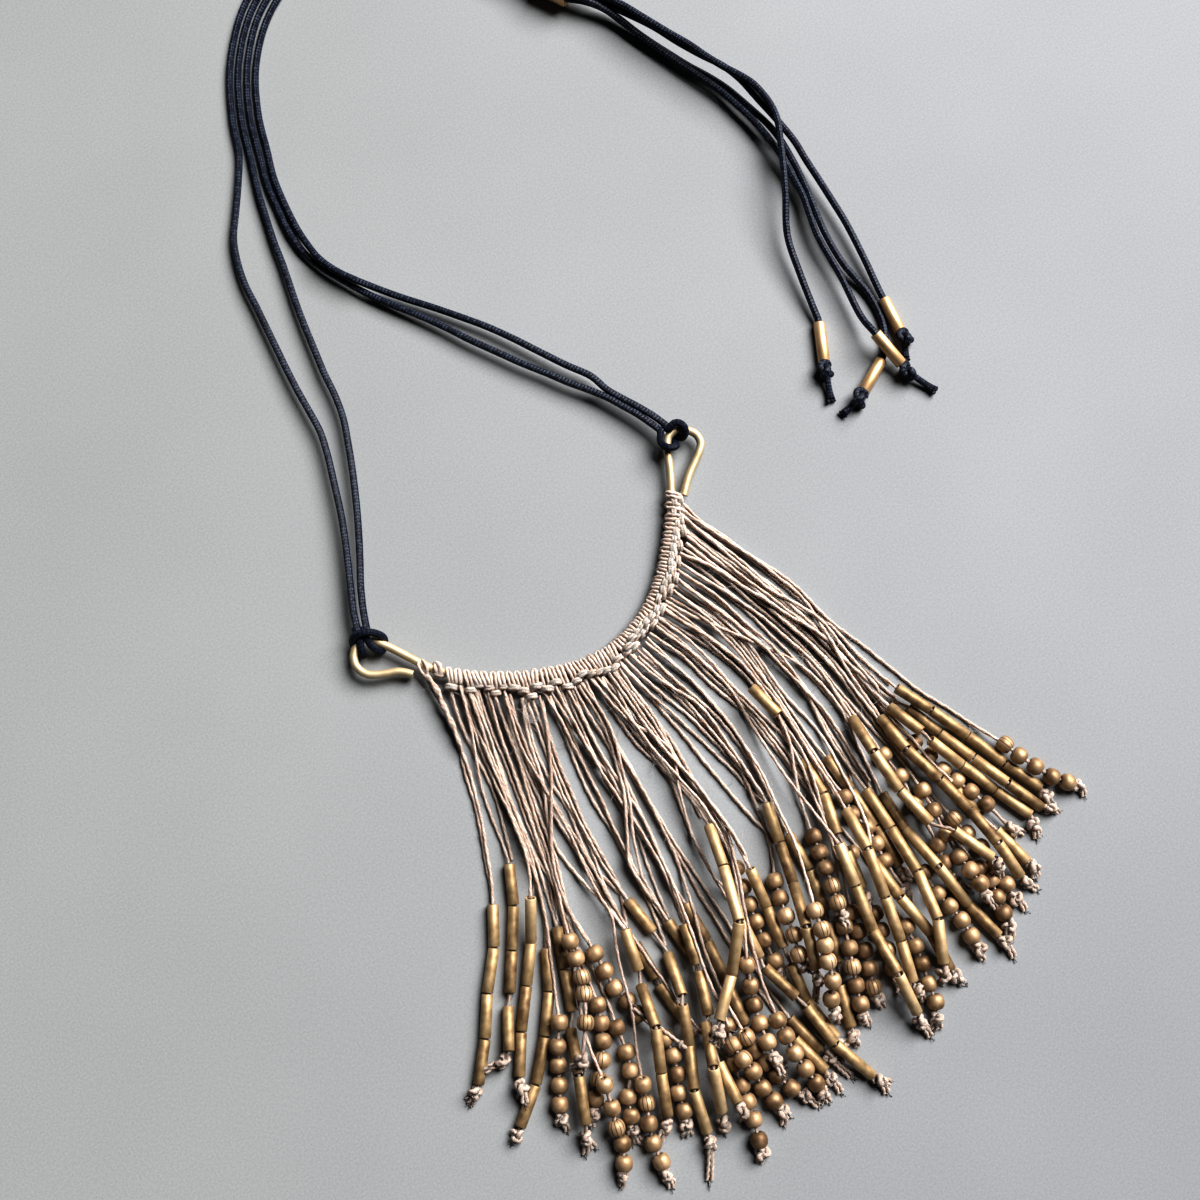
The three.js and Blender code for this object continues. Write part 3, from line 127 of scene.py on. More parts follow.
# The threads' strung ends. The plain model's string runs along its lead to its beads, and the fine
# thread comes from the band by its own way. A tube bead is charted by its two ends, and a knot by
# its place and radius. The strings are laid in this order.
STRINGS = [
    {"node": "tube_string_10", "kind": "tube",
     "lead": [(-24.5, -46), (-24.9, -57)],
     "way": [(-19.6, -13.5), (-21.9, -24), (-23.9, -35), (-24.6, -46), (-24.9, -57)],
     "beads": [[(-24.8, -66.5), (-25, -74)], [(-25.2, -75), (-24.9, -83)]],
     "knot": (-24.6, -85, 0.8), "tail": None},
    {"node": "tube_string_10", "kind": "round",
     "lead": [(-24.9, -83), (-22.6, -90)],
     "way": [(-20, -15), (-22.6, -30), (-23.6, -46), (-24.3, -60), (-24.4, -74), (-24, -83),
         (-22.6, -90)],
     "beads": [(-21.7, -94.3), (-22.6, -98.2), (-23.3, -101.2), (-24.2, -104.3), (-25.4, -107.8)],
     "knot": (-26.2, -110, 1), "tail": (-27.5, -111.2)},
    {"node": "tube_string_12", "kind": "tube",
     "lead": [(-16.6, -47.5), (-17.3, -58)],
     "way": [(-13.3, -17), (-14, -28), (-15, -38), (-16.6, -47.5), (-17.3, -58)],
     "beads": [[(-17.5, -66.3), (-17.2, -73.8)], [(-23.9, -92.4), (-24.9, -100.2)]],
     "knot": (-25, -101.7, 1.3), "tail": (-26, -103.6)},
    {"node": "tube_string_16", "kind": "tube",
     "lead": [(-8.3, -46.5), (-9, -58), (-10.3, -78)],
     "way": [(-7.2, -20.3), (-7.5, -33), (-8.3, -46.5), (-9, -58), (-10.3, -78)],
     "beads": [[(-9.9, -96.8), (-8.3, -104.7)]],
     "knot": (-8.4, -106.2, 1), "tail": (-8.2, -109.3)},
    {"node": "tube_string_16", "kind": "tube",
     "lead": [(-8.3, -46.5), (-8.2, -58), (-8.6, -82)],
     "way": [(-6.2, -20.3), (-7.1, -33), (-8, -46.5), (-8.2, -58), (-8.6, -82)],
     "beads": [[(-8.6, -93.3), (-6.8, -101.2)]],
     "knot": (-6.3, -103, 1.1), "tail": (-5, -108)},
    {"node": "round_string_18", "kind": "round",
     "lead": [(17.8, -46.5), (18.4, -60)],
     "way": [(11.7, -18.8), (15, -31), (17.8, -46.5), (18.4, -60)],
     "beads": [(18.1, -75), (15.4, -86.5), (14.6, -89.7), (13.5, -93.2), (12.5, -96.4)],
     "knot": (12, -98.6, 0.8), "tail": None},
    {"node": "round_string_18", "kind": "round",
     "lead": [(18.4, -60), (20, -78)],
     "way": [(12.4, -18.5), (16, -31), (18.6, -46.5), (19, -60), (20, -78)],
     "beads": [(19, -91.7), (18.3, -95.5), (17.5, -98.8), (16.3, -102.3), (15.5, -105.7)],
     "knot": (14, -108.3, 1.1), "tail": (13.6, -110)},
    {"node": "round_string_24", "kind": "round",
     "lead": [(36.8, -68), (37, -74), (36.4, -82)],
     "way": [(25.6, -8.5), (30.2, -22), (34.6, -38), (36.2, -54), (36.8, -68), (36.7, -78),
         (36.4, -84)],
     "beads": [(36.5, -90.6), (37.1, -93.4), (36.2, -96.6), (35.5, -99.6)],
     "knot": (35.1, -102, 1.1), "tail": (34, -104.4)},
    {"node": "round_string_24", "kind": "round",
     "lead": [(36.8, -68), (37.4, -75)],
     "way": [(26.6, -7.5), (31.3, -22), (36, -40), (36.9, -56), (37, -68), (37.4, -75)],
     "beads": [(38, -80.4), (38.4, -84), (39.1, -87.5), (39.3, -91.6), (39, -95.7)],
     "knot": (38.9, -98.7, 1.1), "tail": (39.5, -101.5)},
    {"node": "tube_string_23", "kind": "tube",
     "lead": [(24.8, -45), (24.2, -52)],
     "way": [(19, -13.7), (22, -21), (24, -29), (24.4, -37), (24.4, -47), (24.2, -52)],
     "beads": [[(24.6, -57.5), (25, -65.4), (25, -73.5), (24.6, -82)]],
     "knot": (24.4, -83.6, 0.8), "tail": None},
    {"node": "tube_string_23", "kind": "round",
     "lead": [(24.8, -45), (23.3, -54)],
     "way": [(18.4, -15), (21.9, -26), (23.5, -38), (23.1, -54)],
     "beads": [(23.2, -65.8), (22.6, -69.2), (23.4, -72.8), (23, -76.2), (22.6, -79.7)],
     "knot": (22.7, -86.3, 0.9), "tail": (22.2, -88.2)},
    {"node": "round_string_06", "kind": "round",
     "lead": [(-28, -41.5), (-30.3, -50), (-33, -60)],
     "way": [(-21.5, -13), (-24.2, -25), (-26.5, -36), (-28.4, -44), (-30.3, -50), (-33.7, -60),
         (-34.1, -66), (-35.1, -73.5)],
     "beads": [(-36, -77.2), (-36.9, -81.8), (-38.1, -84.9), (-41, -88.5), (-42.4, -91.6)],
     "knot": (-43.5, -94, 1.1), "tail": (-44.8, -95.7)},
    {"node": "round_string_06", "kind": "round",
     "lead": [(-28, -41.5), (-31.2, -50), (-33.8, -60)],
     "way": [(-22.6, -11), (-25.2, -22), (-27.8, -34), (-29.6, -43), (-32, -52), (-34.4, -61),
         (-36, -69)],
     "beads": [(-36.7, -71.9), (-38, -75), (-39.4, -77.8), (-41.4, -80.5), (-43.8, -83.2),
         (-46.2, -85.6)],
     "knot": (-47.6, -87.6, 1.1), "tail": None},
    {"node": "tube_string_17", "kind": "tube",
     "lead": [(-12.6, -48), (-12.9, -57)],
     "way": [(-10.3, -18.6), (-12.3, -30), (-12.4, -44), (-12.9, -57)],
     "beads": [[(-13, -65.5), (-13.4, -73.5), (-14.6, -81.7), (-16, -90)]],
     "knot": (-16.4, -91.4, 0.8), "tail": None},
    {"node": "round_string_20", "kind": "round",
     "lead": [(-3.2, -47), (-0.4, -56)],
     "way": [(-1, -21.5), (-1.9, -31), (-2, -42), (-0.6, -52), (-0.4, -59)],
     "beads": [(-1.4, -65.5), (-2.3, -69), (-3.1, -72.3), (-3.9, -75.6), (-4.5, -79.2), (-4.9, -83.3)],
     "knot": (-5, -85.3, 0.8), "tail": None},
    {"node": "tube_string_25", "kind": "round",
     "lead": [(29.2, -62), (27.6, -72)],
     "way": [(20.4, -14), (24.5, -25), (28.2, -38), (29.2, -50), (28.8, -62), (27.6, -76)],
     "beads": [(27.5, -85.5), (27.3, -89.9), (27.8, -93.1), (28.2, -96.4), (28, -99.7)],
     "knot": (27.9, -102.5, 1), "tail": (27.5, -104.5)},
    {"node": "tube_string_19", "kind": "tube",
     "lead": [(0.8, -48.5), (1.4, -57)],
     "way": [(1.2, -22), (1.5, -35), (0.8, -44), (1.2, -52), (1.6, -57)],
     "beads": [[(0.4, -66.8), (-0.8, -74.5), (-2.5, -82.3)], [(-2.9, -85.3), (-4.1, -92.5),
         (-3.4, -101.1)]],
     "knot": (-3.2, -102.6, 0.8), "tail": None},
    {"node": "tube_string_21", "kind": "tube",
     "lead": [(13, -44.5), (12, -56)],
     "way": [(8.9, -19.8), (11, -28), (12.7, -38), (13, -46), (12, -56)],
     "beads": [[(10.4, -65.5), (9.9, -73.3), (8.1, -81.3)], [(7.3, -83), (4.9, -90.2)], [(2.6, -93.5),
         (0, -101)]],
     "knot": (-0.6, -102.6, 1), "tail": None},
    {"node": "round_string_16", "kind": "round",
     "lead": [(9, -47.5), (7, -61)],
     "way": [(4.8, -21), (7.2, -31), (9.3, -42), (9.5, -52), (7, -64)],
     "beads": [(3.3, -71.4), (2.2, -74.5), (1.1, -77.7), (0.4, -81.3), (-0.9, -84.6)],
     "knot": (-0.9, -87.2, 1), "tail": None},
    {"node": "tube_string_28", "kind": "tube",
     "lead": [(24.9, -42), (25.6, -56), (23.8, -71)],
     "way": [(20, -12.5), (22.6, -21), (24.6, -31), (25, -42), (26.2, -51), (25.6, -60), (23.8, -71)],
     "beads": [[(20.4, -78.2), (20.6, -86.4), (21.9, -95.2), (21.3, -102.7)]],
     "knot": (21.5, -104.3, 0.9), "tail": (22, -106)},
    {"node": "tube_string_24", "kind": "tube",
     "lead": [(17.9, -43.5), (20, -51)],
     "way": [(12.9, -17.5), (16, -27), (18, -38), (20, -49)],
     "beads": [[(20.5, -55.5), (20.1, -63.1), (17.8, -70.8)], [(17.3, -74), (15.9, -81.3)]],
     "knot": (15.6, -83, 0.8), "tail": None},
    {"node": "round_string_17", "kind": "round",
     "lead": [(21.9, -41), (20.9, -54), (16.2, -70)],
     "way": [(15.6, -16.5), (19, -25), (21.4, -35), (21.9, -43), (20.9, -56), (18, -66), (14.5, -75)],
     "beads": [(9.2, -85.3), (7.7, -88.9), (6.2, -92), (5, -95.2), (3.7, -98.3)],
     "knot": (2.9, -100.5, 1), "tail": (3.2, -102.4)},
    {"node": "round_string_17", "kind": "round",
     "lead": [(16.2, -70), (14.2, -78)],
     "way": [(15, -17), (18.5, -27), (20.8, -38), (20.2, -54), (16.6, -69), (14.2, -78)],
     "beads": [(11.9, -84), (11, -87.5), (10, -91), (8.9, -94.1), (7.4, -97.2)],
     "knot": (7, -99.4, 1), "tail": (7.2, -101.2)},
    {"node": "round_string_08", "kind": "round",
     "lead": [(-31.8, -41), (-31.6, -53)],
     "way": [(-24, -10), (-27.4, -22), (-30.2, -34), (-31.6, -43), (-31.6, -53)],
     "beads": [(-32, -63.9), (-32.2, -67.5), (-32.4, -71.1), (-31.7, -74.3), (-31.4, -77.4),
         (-29.6, -83.7), (-30.1, -87), (-31.3, -90.2), (-33, -93), (-33.8, -96.1)],
     "knot": (-34.9, -98.2, 1), "tail": (-36.3, -100)},
    {"node": "tube_string_05", "kind": "tube",
     "lead": [(-31.9, -42), (-34.2, -51)],
     "way": [(-24.8, -10), (-26.9, -20), (-28.7, -27), (-30.2, -35), (-31.9, -43), (-34.2, -52)],
     "beads": [[(-35.3, -55.9), (-38.3, -63.2), (-41.3, -70.4)], [(-43.2, -72.7), (-46.3, -80.3),
         (-50, -88.2)]],
     "knot": (-51.3, -90.2, 1.1), "tail": (-53, -92.6)},
    {"node": "tube_string_05", "kind": "tube",
     "lead": [(-31.9, -42), (-35.6, -51)],
     "way": [(-25.2, -9.8), (-27.6, -20), (-29.4, -28), (-31, -37), (-32.6, -44), (-35.8, -52)],
     "beads": [[(-39, -58.1), (-42.9, -65), (-47.9, -71.3), (-53.9, -77.5), (-60.4, -82.2)]],
     "knot": (-61.6, -83, 0.9), "tail": (-63, -83.6)},
    {"node": "round_string_01", "kind": "round",
     "lead": [(-32.4, -38), (-36.8, -52)],
     "way": [(-25.6, -7.5), (-28.4, -20), (-30.3, -30), (-32, -40), (-34.6, -49), (-39.2, -60)],
     "beads": [(-44.2, -70.6), (-46.8, -74), (-48.6, -76.9), (-50.3, -79.9), (-52.1, -82.8)],
     "knot": (-53.3, -85.1, 1.1), "tail": (-53.4, -87.4)},
    {"node": "tube_string_03", "kind": "tube",
     "lead": [(-31.6, -39), (-34, -45.5)],
     "way": [(-25.9, -7.3), (-28.9, -19), (-30.7, -28), (-31.9, -37), (-33.5, -44)],
     "beads": [[(-36.3, -48.9), (-40.8, -55.7), (-45.8, -61.8), (-51.1, -68.2), (-55.7, -74.8)]],
     "knot": (-56.2, -76.4, 1.1), "tail": (-57.2, -79)},
    {"node": "tube_string_11", "kind": "tube",
     "lead": [(-20.6, -42.5), (-21.9, -52)],
     "way": [(-15.8, -17.3), (-18.6, -28), (-20.4, -38), (-21.9, -50)],
     "beads": [[(-21.6, -59), (-20.9, -66.7)], [(-20.8, -71.2), (-22.9, -79)], [(-23.7, -80.1),
         (-26.6, -87.1), (-30.3, -93.9), (-32.5, -101.7)]],
     "knot": (-33, -103.4, 1.3), "tail": (-36.8, -108.8)},
    {"node": "tube_string_13", "kind": "tube",
     "lead": [(-12.4, -43.5), (-13, -58)],
     "way": [(-10.8, -17.6), (-12.2, -30), (-12.5, -43.5), (-13.2, -60)],
     "beads": [[(-15.3, -68.4), (-17.5, -76)], [(-17.8, -76.9), (-20.8, -84.6)], [(-21.9, -85.2),
         (-25.2, -92.2), (-28.2, -100)]],
     "knot": (-29.1, -101.9, 1.5), "tail": None},
    {"node": "round_string_21", "kind": "round",
     "lead": [(33.4, -40.5), (35.2, -54)],
     "way": [(24.4, -8.5), (28.7, -20), (32.4, -34), (34.2, -46), (35.2, -58), (36.2, -66)],
     "beads": [(36, -72.8), (35.5, -77), (34.9, -82), (34.4, -86.6), (34.4, -89.6), (34.6, -92.6)],
     "knot": (34.3, -95, 1), "tail": (34.8, -98)},
    {"node": "round_string_21", "kind": "round",
     "lead": [(35.2, -54), (34, -58)],
     "way": [(23.4, -9), (27.5, -21), (31.3, -34), (33.2, -46), (34, -58)],
     "beads": [(33.9, -63.4), (34.2, -68.4), (33.5, -74), (32.6, -82.7), (31.7, -86)],
     "knot": (31.6, -89.8, 0.9), "tail": (32.8, -93)},
    {"node": "round_string_25", "kind": "round",
     "lead": [(38, -41), (39.2, -55)],
     "way": [(27.2, -6), (31.5, -18), (35.4, -30), (38, -43), (39, -55)],
     "beads": [(40.1, -64.7), (41, -68.3), (41.6, -71.9), (42.6, -74.9), (43.6, -78.1), (44.7, -81.6)],
     "knot": (46, -88, 1), "tail": (47.7, -89.9)},
    {"node": "round_string_25", "kind": "tube",
     "lead": [(39.2, -55), (39.4, -66)],
     "way": [(26.8, -6.3), (31, -19), (35.2, -32), (38.2, -46), (39.4, -60), (40.2, -68)],
     "beads": [[(41.5, -74.5), (42.5, -82.2)], [(43.5, -86.5), (44.9, -94.6)]],
     "knot": (45.3, -95.8, 1), "tail": (44.5, -97.8)},
    {"node": "tube_string_02", "kind": "tube",
     "lead": [(-35, -36.5)],
     "way": [(-26.2, -8), (-28, -14.5), (-31, -21), (-33.2, -27), (-35, -35)],
     "beads": [[(-36.4, -41.3), (-39.9, -48.3), (-44.6, -55), (-49.1, -61.3)], [(-50.6, -63),
         (-54.8, -69.9)]],
     "knot": (-56.8, -70.8, 1.4), "tail": (-60.3, -70.4)},
    {"node": "tube_string_01", "kind": "tube",
     "lead": [(-37.6, -34.5)],
     "way": [(-30.5, -3), (-30.6, -8), (-31.4, -13.5), (-34, -24), (-36.5, -32), (-40, -40)],
     "beads": [[(-43, -45.9), (-47.1, -52.7), (-52.6, -59), (-57.3, -65.6), (-62.7, -71.8)]],
     "knot": (-63.9, -72.6, 1), "tail": (-65.8, -73.8)},
    {"node": "tube_string_32", "kind": "tube",
     "lead": [(38.2, -43.4), (39, -51)],
     "way": [(28, -4), (32, -15), (35.3, -27), (37.8, -39), (39, -50)],
     "beads": [[(39.9, -56.3), (42, -63.8)], [(42.1, -65.8), (44.9, -73), (47.8, -80.4), (50.6, -88)]],
     "knot": (50, -89.6, 1), "tail": (50, -91.6)},
    {"node": "tube_string_33", "kind": "tube",
     "lead": [(37.4, -39), (41.3, -53)],
     "way": [(23.5, -9.5), (27.5, -16), (31.3, -24), (34.5, -31.5), (37.4, -39), (38.8, -47),
         (41.3, -55)],
     "beads": [[(43.2, -58.4), (45.3, -65.9), (47.7, -73.2), (50.1, -80.5), (53.2, -88)]],
     "knot": (54.3, -88.9, 1), "tail": (55.5, -90.2)},
    {"node": "tube_string_34", "kind": "tube",
     "lead": [(40.2, -36), (41.6, -48)],
     "way": [(28.4, -3.5), (33, -14), (37.2, -26), (40, -38), (41.6, -48)],
     "beads": [[(43, -54.2), (46.2, -61.3), (49.5, -69.2), (52.3, -77.3), (55.3, -85)]],
     "knot": (55.2, -86.6, 1), "tail": (55.3, -88.8)},
    {"node": "round_string_28", "kind": "round",
     "lead": [(40.8, -38.5), (47, -57)],
     "way": [(29.6, -1), (30.8, -7), (34.6, -17), (38.6, -25.5), (40.3, -36), (41.5, -40), (43.5, -45),
         (45.3, -51), (47, -57), (49.5, -63), (51.8, -68)],
     "beads": [(54.2, -74.4), (55, -77.6), (56.4, -80.9), (57.9, -84.2), (59.9, -86.7)],
     "knot": (61.2, -88.2, 0.9), "tail": (61.5, -90.5)},
    {"node": "tube_string_18", "kind": "tube",
     "lead": [(-2.6, -44), (-5, -60)],
     "way": [(-4, -20.8), (-4, -28), (-4, -35), (-2.6, -44), (-4.4, -54), (-5.8, -64)],
     "beads": [[(-6.2, -73.4), (-7.1, -81.3)], [(-7.4, -83), (-5.5, -90.8)], [(-5, -93), (-4.4, -101.4),
         (-1.7, -110.2)]],
     "knot": (-1.1, -111.4, 1), "tail": (-1.2, -114)},
    {"node": "round_string_12", "kind": "round",
     "lead": [(-8.2, -42.5), (-11, -63), (-16.4, -78)],
     "way": [(-5.4, -20), (-6.6, -28), (-7.6, -35), (-7.6, -42), (-8.6, -51), (-9.9, -58), (-12.3, -67),
         (-15, -76), (-16.8, -85)],
     "beads": [(-17.2, -91.5), (-17.3, -94.4), (-16.8, -97.3), (-16.2, -100.3), (-15.3, -103.6)],
     "knot": (-14, -106.2, 0.9), "tail": (-13, -109)},
    {"node": "round_string_12", "kind": "round",
     "lead": [(-16.4, -78), (-17.6, -83)],
     "way": [(-9.2, -19.4), (-10.5, -32), (-10.8, -46), (-12.6, -60), (-15.6, -72), (-17.6, -82)],
     "beads": [(-18.8, -88.2), (-20, -91.4), (-19.9, -94.3), (-19.5, -97.2), (-19.7, -100.7),
         (-19.2, -103.7)],
     "knot": (-19, -106, 1), "tail": (-18.4, -107.6)},
    {"node": "round_string_13", "kind": "round",
     "lead": [(0.7, -44.5), (0.2, -59), (-4.5, -71)],
     "way": [(0.2, -21.8), (0.8, -30), (0.8, -43), (0.6, -54), (-0.4, -61), (-4.5, -71)],
     "beads": [(-9.9, -80.9), (-11.3, -84.5), (-12.6, -87.7), (-13.7, -91), (-14.5, -94.3)],
     "knot": (-15, -97.5, 0.9), "tail": (-15.4, -100.5)},
    {"node": "round_string_13", "kind": "round",
     "lead": [(0.7, -44.5), (0.8, -59), (-4, -71), (-8.4, -82)],
     "way": [(-0.2, -21.6), (0.2, -32), (0.4, -46), (1, -58), (-1.6, -66), (-5, -73), (-8.4, -82)],
     "beads": [(-10.7, -92.2), (-11, -95.3), (-11.4, -98.7), (-11.3, -102.1), (-11.1, -105.4)],
     "knot": (-11, -107.4, 1), "tail": (-12.2, -108.8)},
    {"node": "tube_string_20", "kind": "tube",
     "lead": [(9, -44), (10.4, -53)],
     "way": [(5.5, -22), (8, -32), (9.4, -42), (10.4, -53)],
     "beads": [[(10.2, -58.5), (8, -66), (5.7, -73.6), (2.8, -81.1), (0.2, -88.5)]],
     "knot": (-0.6, -90.2, 1.1), "tail": (-2.5, -93.3)},
    {"node": "round_string_26", "kind": "round",
     "lead": [(13, -41), (11.7, -57), (9.6, -69)],
     "way": [(8.2, -20.3), (11.4, -31), (13, -41), (12.6, -52), (11.7, -57), (9.6, -69)],
     "beads": [(5.6, -79.5), (4.7, -82.9), (3.6, -85.6), (2.5, -88.2), (1.4, -91.7), (-0.5, -94.4)],
     "knot": (-1.4, -97, 1.1), "tail": None},
    {"node": "round_string_23", "kind": "round",
     "lead": [(21.9, -38), (17.5, -56)],
     "way": [(14.8, -17.5), (18.6, -26), (21.6, -35), (22, -42), (20.4, -51), (17.5, -58), (15, -65)],
     "beads": [(14, -68.6), (13.2, -71.7), (12.4, -74.6), (11.4, -77.9), (10.4, -80.9)],
     "knot": (9.9, -83, 0.8), "tail": None},
    {"node": "tube_string_25", "kind": "tube",
     "lead": [(29.2, -62)],
     "way": [(16, -15.7), (19.3, -22), (22.8, -27.5), (26.3, -33), (29.8, -38), (31.7, -44), (32.2, -50),
         (31, -61)],
     "beads": [[(29.5, -69), (29.3, -77), (29.8, -85.8), (31, -94.8), (32.4, -102.7)]],
     "knot": (32.7, -104.1, 1), "tail": (32.5, -107.3)},
    {"node": "round_string_05", "kind": "round",
     "lead": [(-29.5, -39), (-32.3, -52), (-37.6, -66)],
     "way": [(-22.2, -11.6), (-25.6, -24), (-28.2, -34), (-29.8, -41), (-32.3, -52), (-36, -62),
         (-38.3, -67), (-41, -74)],
     "beads": [(-43.2, -84.1), (-44.5, -88.4), (-45.7, -91.7), (-46.4, -94.7), (-48, -97.7)],
     "knot": (-49.3, -99.4, 1), "tail": None},
    {"node": "round_string_04", "kind": "round",
     "lead": [(-28, -38.5), (-31.8, -50)],
     "way": [(-21.4, -12.6), (-24, -24), (-26.6, -33), (-28.6, -41), (-31.5, -50), (-33.4, -56)],
     "beads": [(-34.6, -59.5), (-35.4, -62.7), (-36.4, -66.1), (-37.6, -68.9), (-40.2, -73.2)],
     "knot": (-44.3, -78.3, 1.1), "tail": (-46.5, -78.4)},
    {"node": "tube_string_09", "kind": "tube",
     "lead": [(-27.6, -41), (-26.2, -53)],
     "way": [(-17.5, -16.5), (-20.6, -24), (-22.6, -31), (-26.2, -39), (-27.3, -44), (-26.4, -53)],
     "beads": [[(-25, -63.2), (-27, -71)], [(-28.1, -73.2), (-30, -80.9), (-33.6, -88.1),
         (-36.9, -95.3)]],
     "knot": (-38, -96.5, 1.4), "tail": (-40.3, -98)},
    {"node": "round_string_07", "kind": "round",
     "lead": [(-23.5, -43.5), (-25.8, -58), (-31.7, -75)],
     "way": [(-20.2, -15), (-22.6, -25), (-23.5, -36), (-23.9, -44), (-25.7, -55), (-25.8, -60),
         (-28, -65), (-31.7, -75), (-35.4, -83)],
     "beads": [(-37.5, -88.1), (-38.8, -91.3), (-40.4, -94.4), (-41.7, -97.7), (-42.2, -101.2)],
     "knot": (-42.8, -103.4, 1), "tail": (-43.2, -106)},
    {"node": "tube_string_26", "kind": "tube",
     "lead": [(28.4, -43.5), (27.4, -57)],
     "way": [(21.3, -12), (24.6, -20), (26.8, -28), (28.3, -35), (28.6, -45), (27.2, -58)],
     "beads": [[(27.3, -66.7), (26.9, -75.3), (26.1, -84.4), (24, -93.4), (20.3, -100.7)]],
     "knot": (19.4, -102.2, 1.3), "tail": None},
    {"node": "tube_string_22", "kind": "tube",
     "lead": [(21.8, -34.5), (22.6, -56)],
     "way": [(16.6, -15), (20, -22), (22, -30), (22.6, -40), (22.8, -48), (22.3, -59)],
     "beads": [[(21.6, -67.7), (20.3, -75.8), (18.2, -84.8), (16.3, -93), (14, -100.5)]],
     "knot": (13.8, -102, 1), "tail": (14, -104.5)},
    {"node": "tube_string_27", "kind": "tube",
     "lead": [(17.7, -40.5), (16.2, -60)],
     "way": [(11.6, -19), (14.8, -28), (16.9, -36), (16.4, -44), (15.8, -53), (16.2, -63)],
     "beads": [[(16.4, -72), (14.8, -80.1), (13, -88.7), (12.1, -97.3), (11.4, -105.4)]],
     "knot": (11, -107, 1), "tail": (11.3, -110.3)},
    {"node": "tube_string_29", "kind": "tube",
     "lead": [(33, -37.5), (33.2, -48)],
     "way": [(22.8, -12), (26.3, -20), (29.7, -28), (32, -36), (33.3, -43), (33.2, -49)],
     "beads": [[(33, -54.2), (31.9, -61.8), (32, -70.4), (33.3, -78.5)], [(35.9, -81.9),
         (39.2, -90.1)]],
     "knot": (39, -91.6, 1.4), "tail": (38.9, -94)},
    {"node": "tube_string_31", "kind": "tube",
     "lead": [(37, -36), (37.8, -50)],
     "way": [(28.6, -2), (30.8, -8.5), (34.3, -16), (37, -23.5), (38.6, -31), (38.2, -38), (37.7, -48)],
     "beads": [[(37.6, -57), (37.8, -64.8), (39.6, -72.9), (41.1, -80.5), (41.7, -88.3), (42.1, -96)]],
     "knot": (42.4, -97.4, 1), "tail": (43.5, -99.7)},
    {"node": "tube_string_15", "kind": "tube",
     "lead": [(-2.4, -41), (-1.2, -50)],
     "way": [(-2.6, -21.5), (-3.3, -30), (-2.4, -41), (-1.2, -50)],
     "beads": [[(-1.4, -56), (-3.6, -63.8), (-7, -73.5), (-13.3, -80.8), (-19.8, -86.2)]],
     "knot": (-20.9, -87.6, 1.5), "tail": (-21.8, -90)},
    {"node": "loose_tube", "kind": "tube",
     "lead": [],
     "way": [],
     "beads": [[(19.8, -39), (21, -46.3)]],
     "knot": None, "tail": None},
]

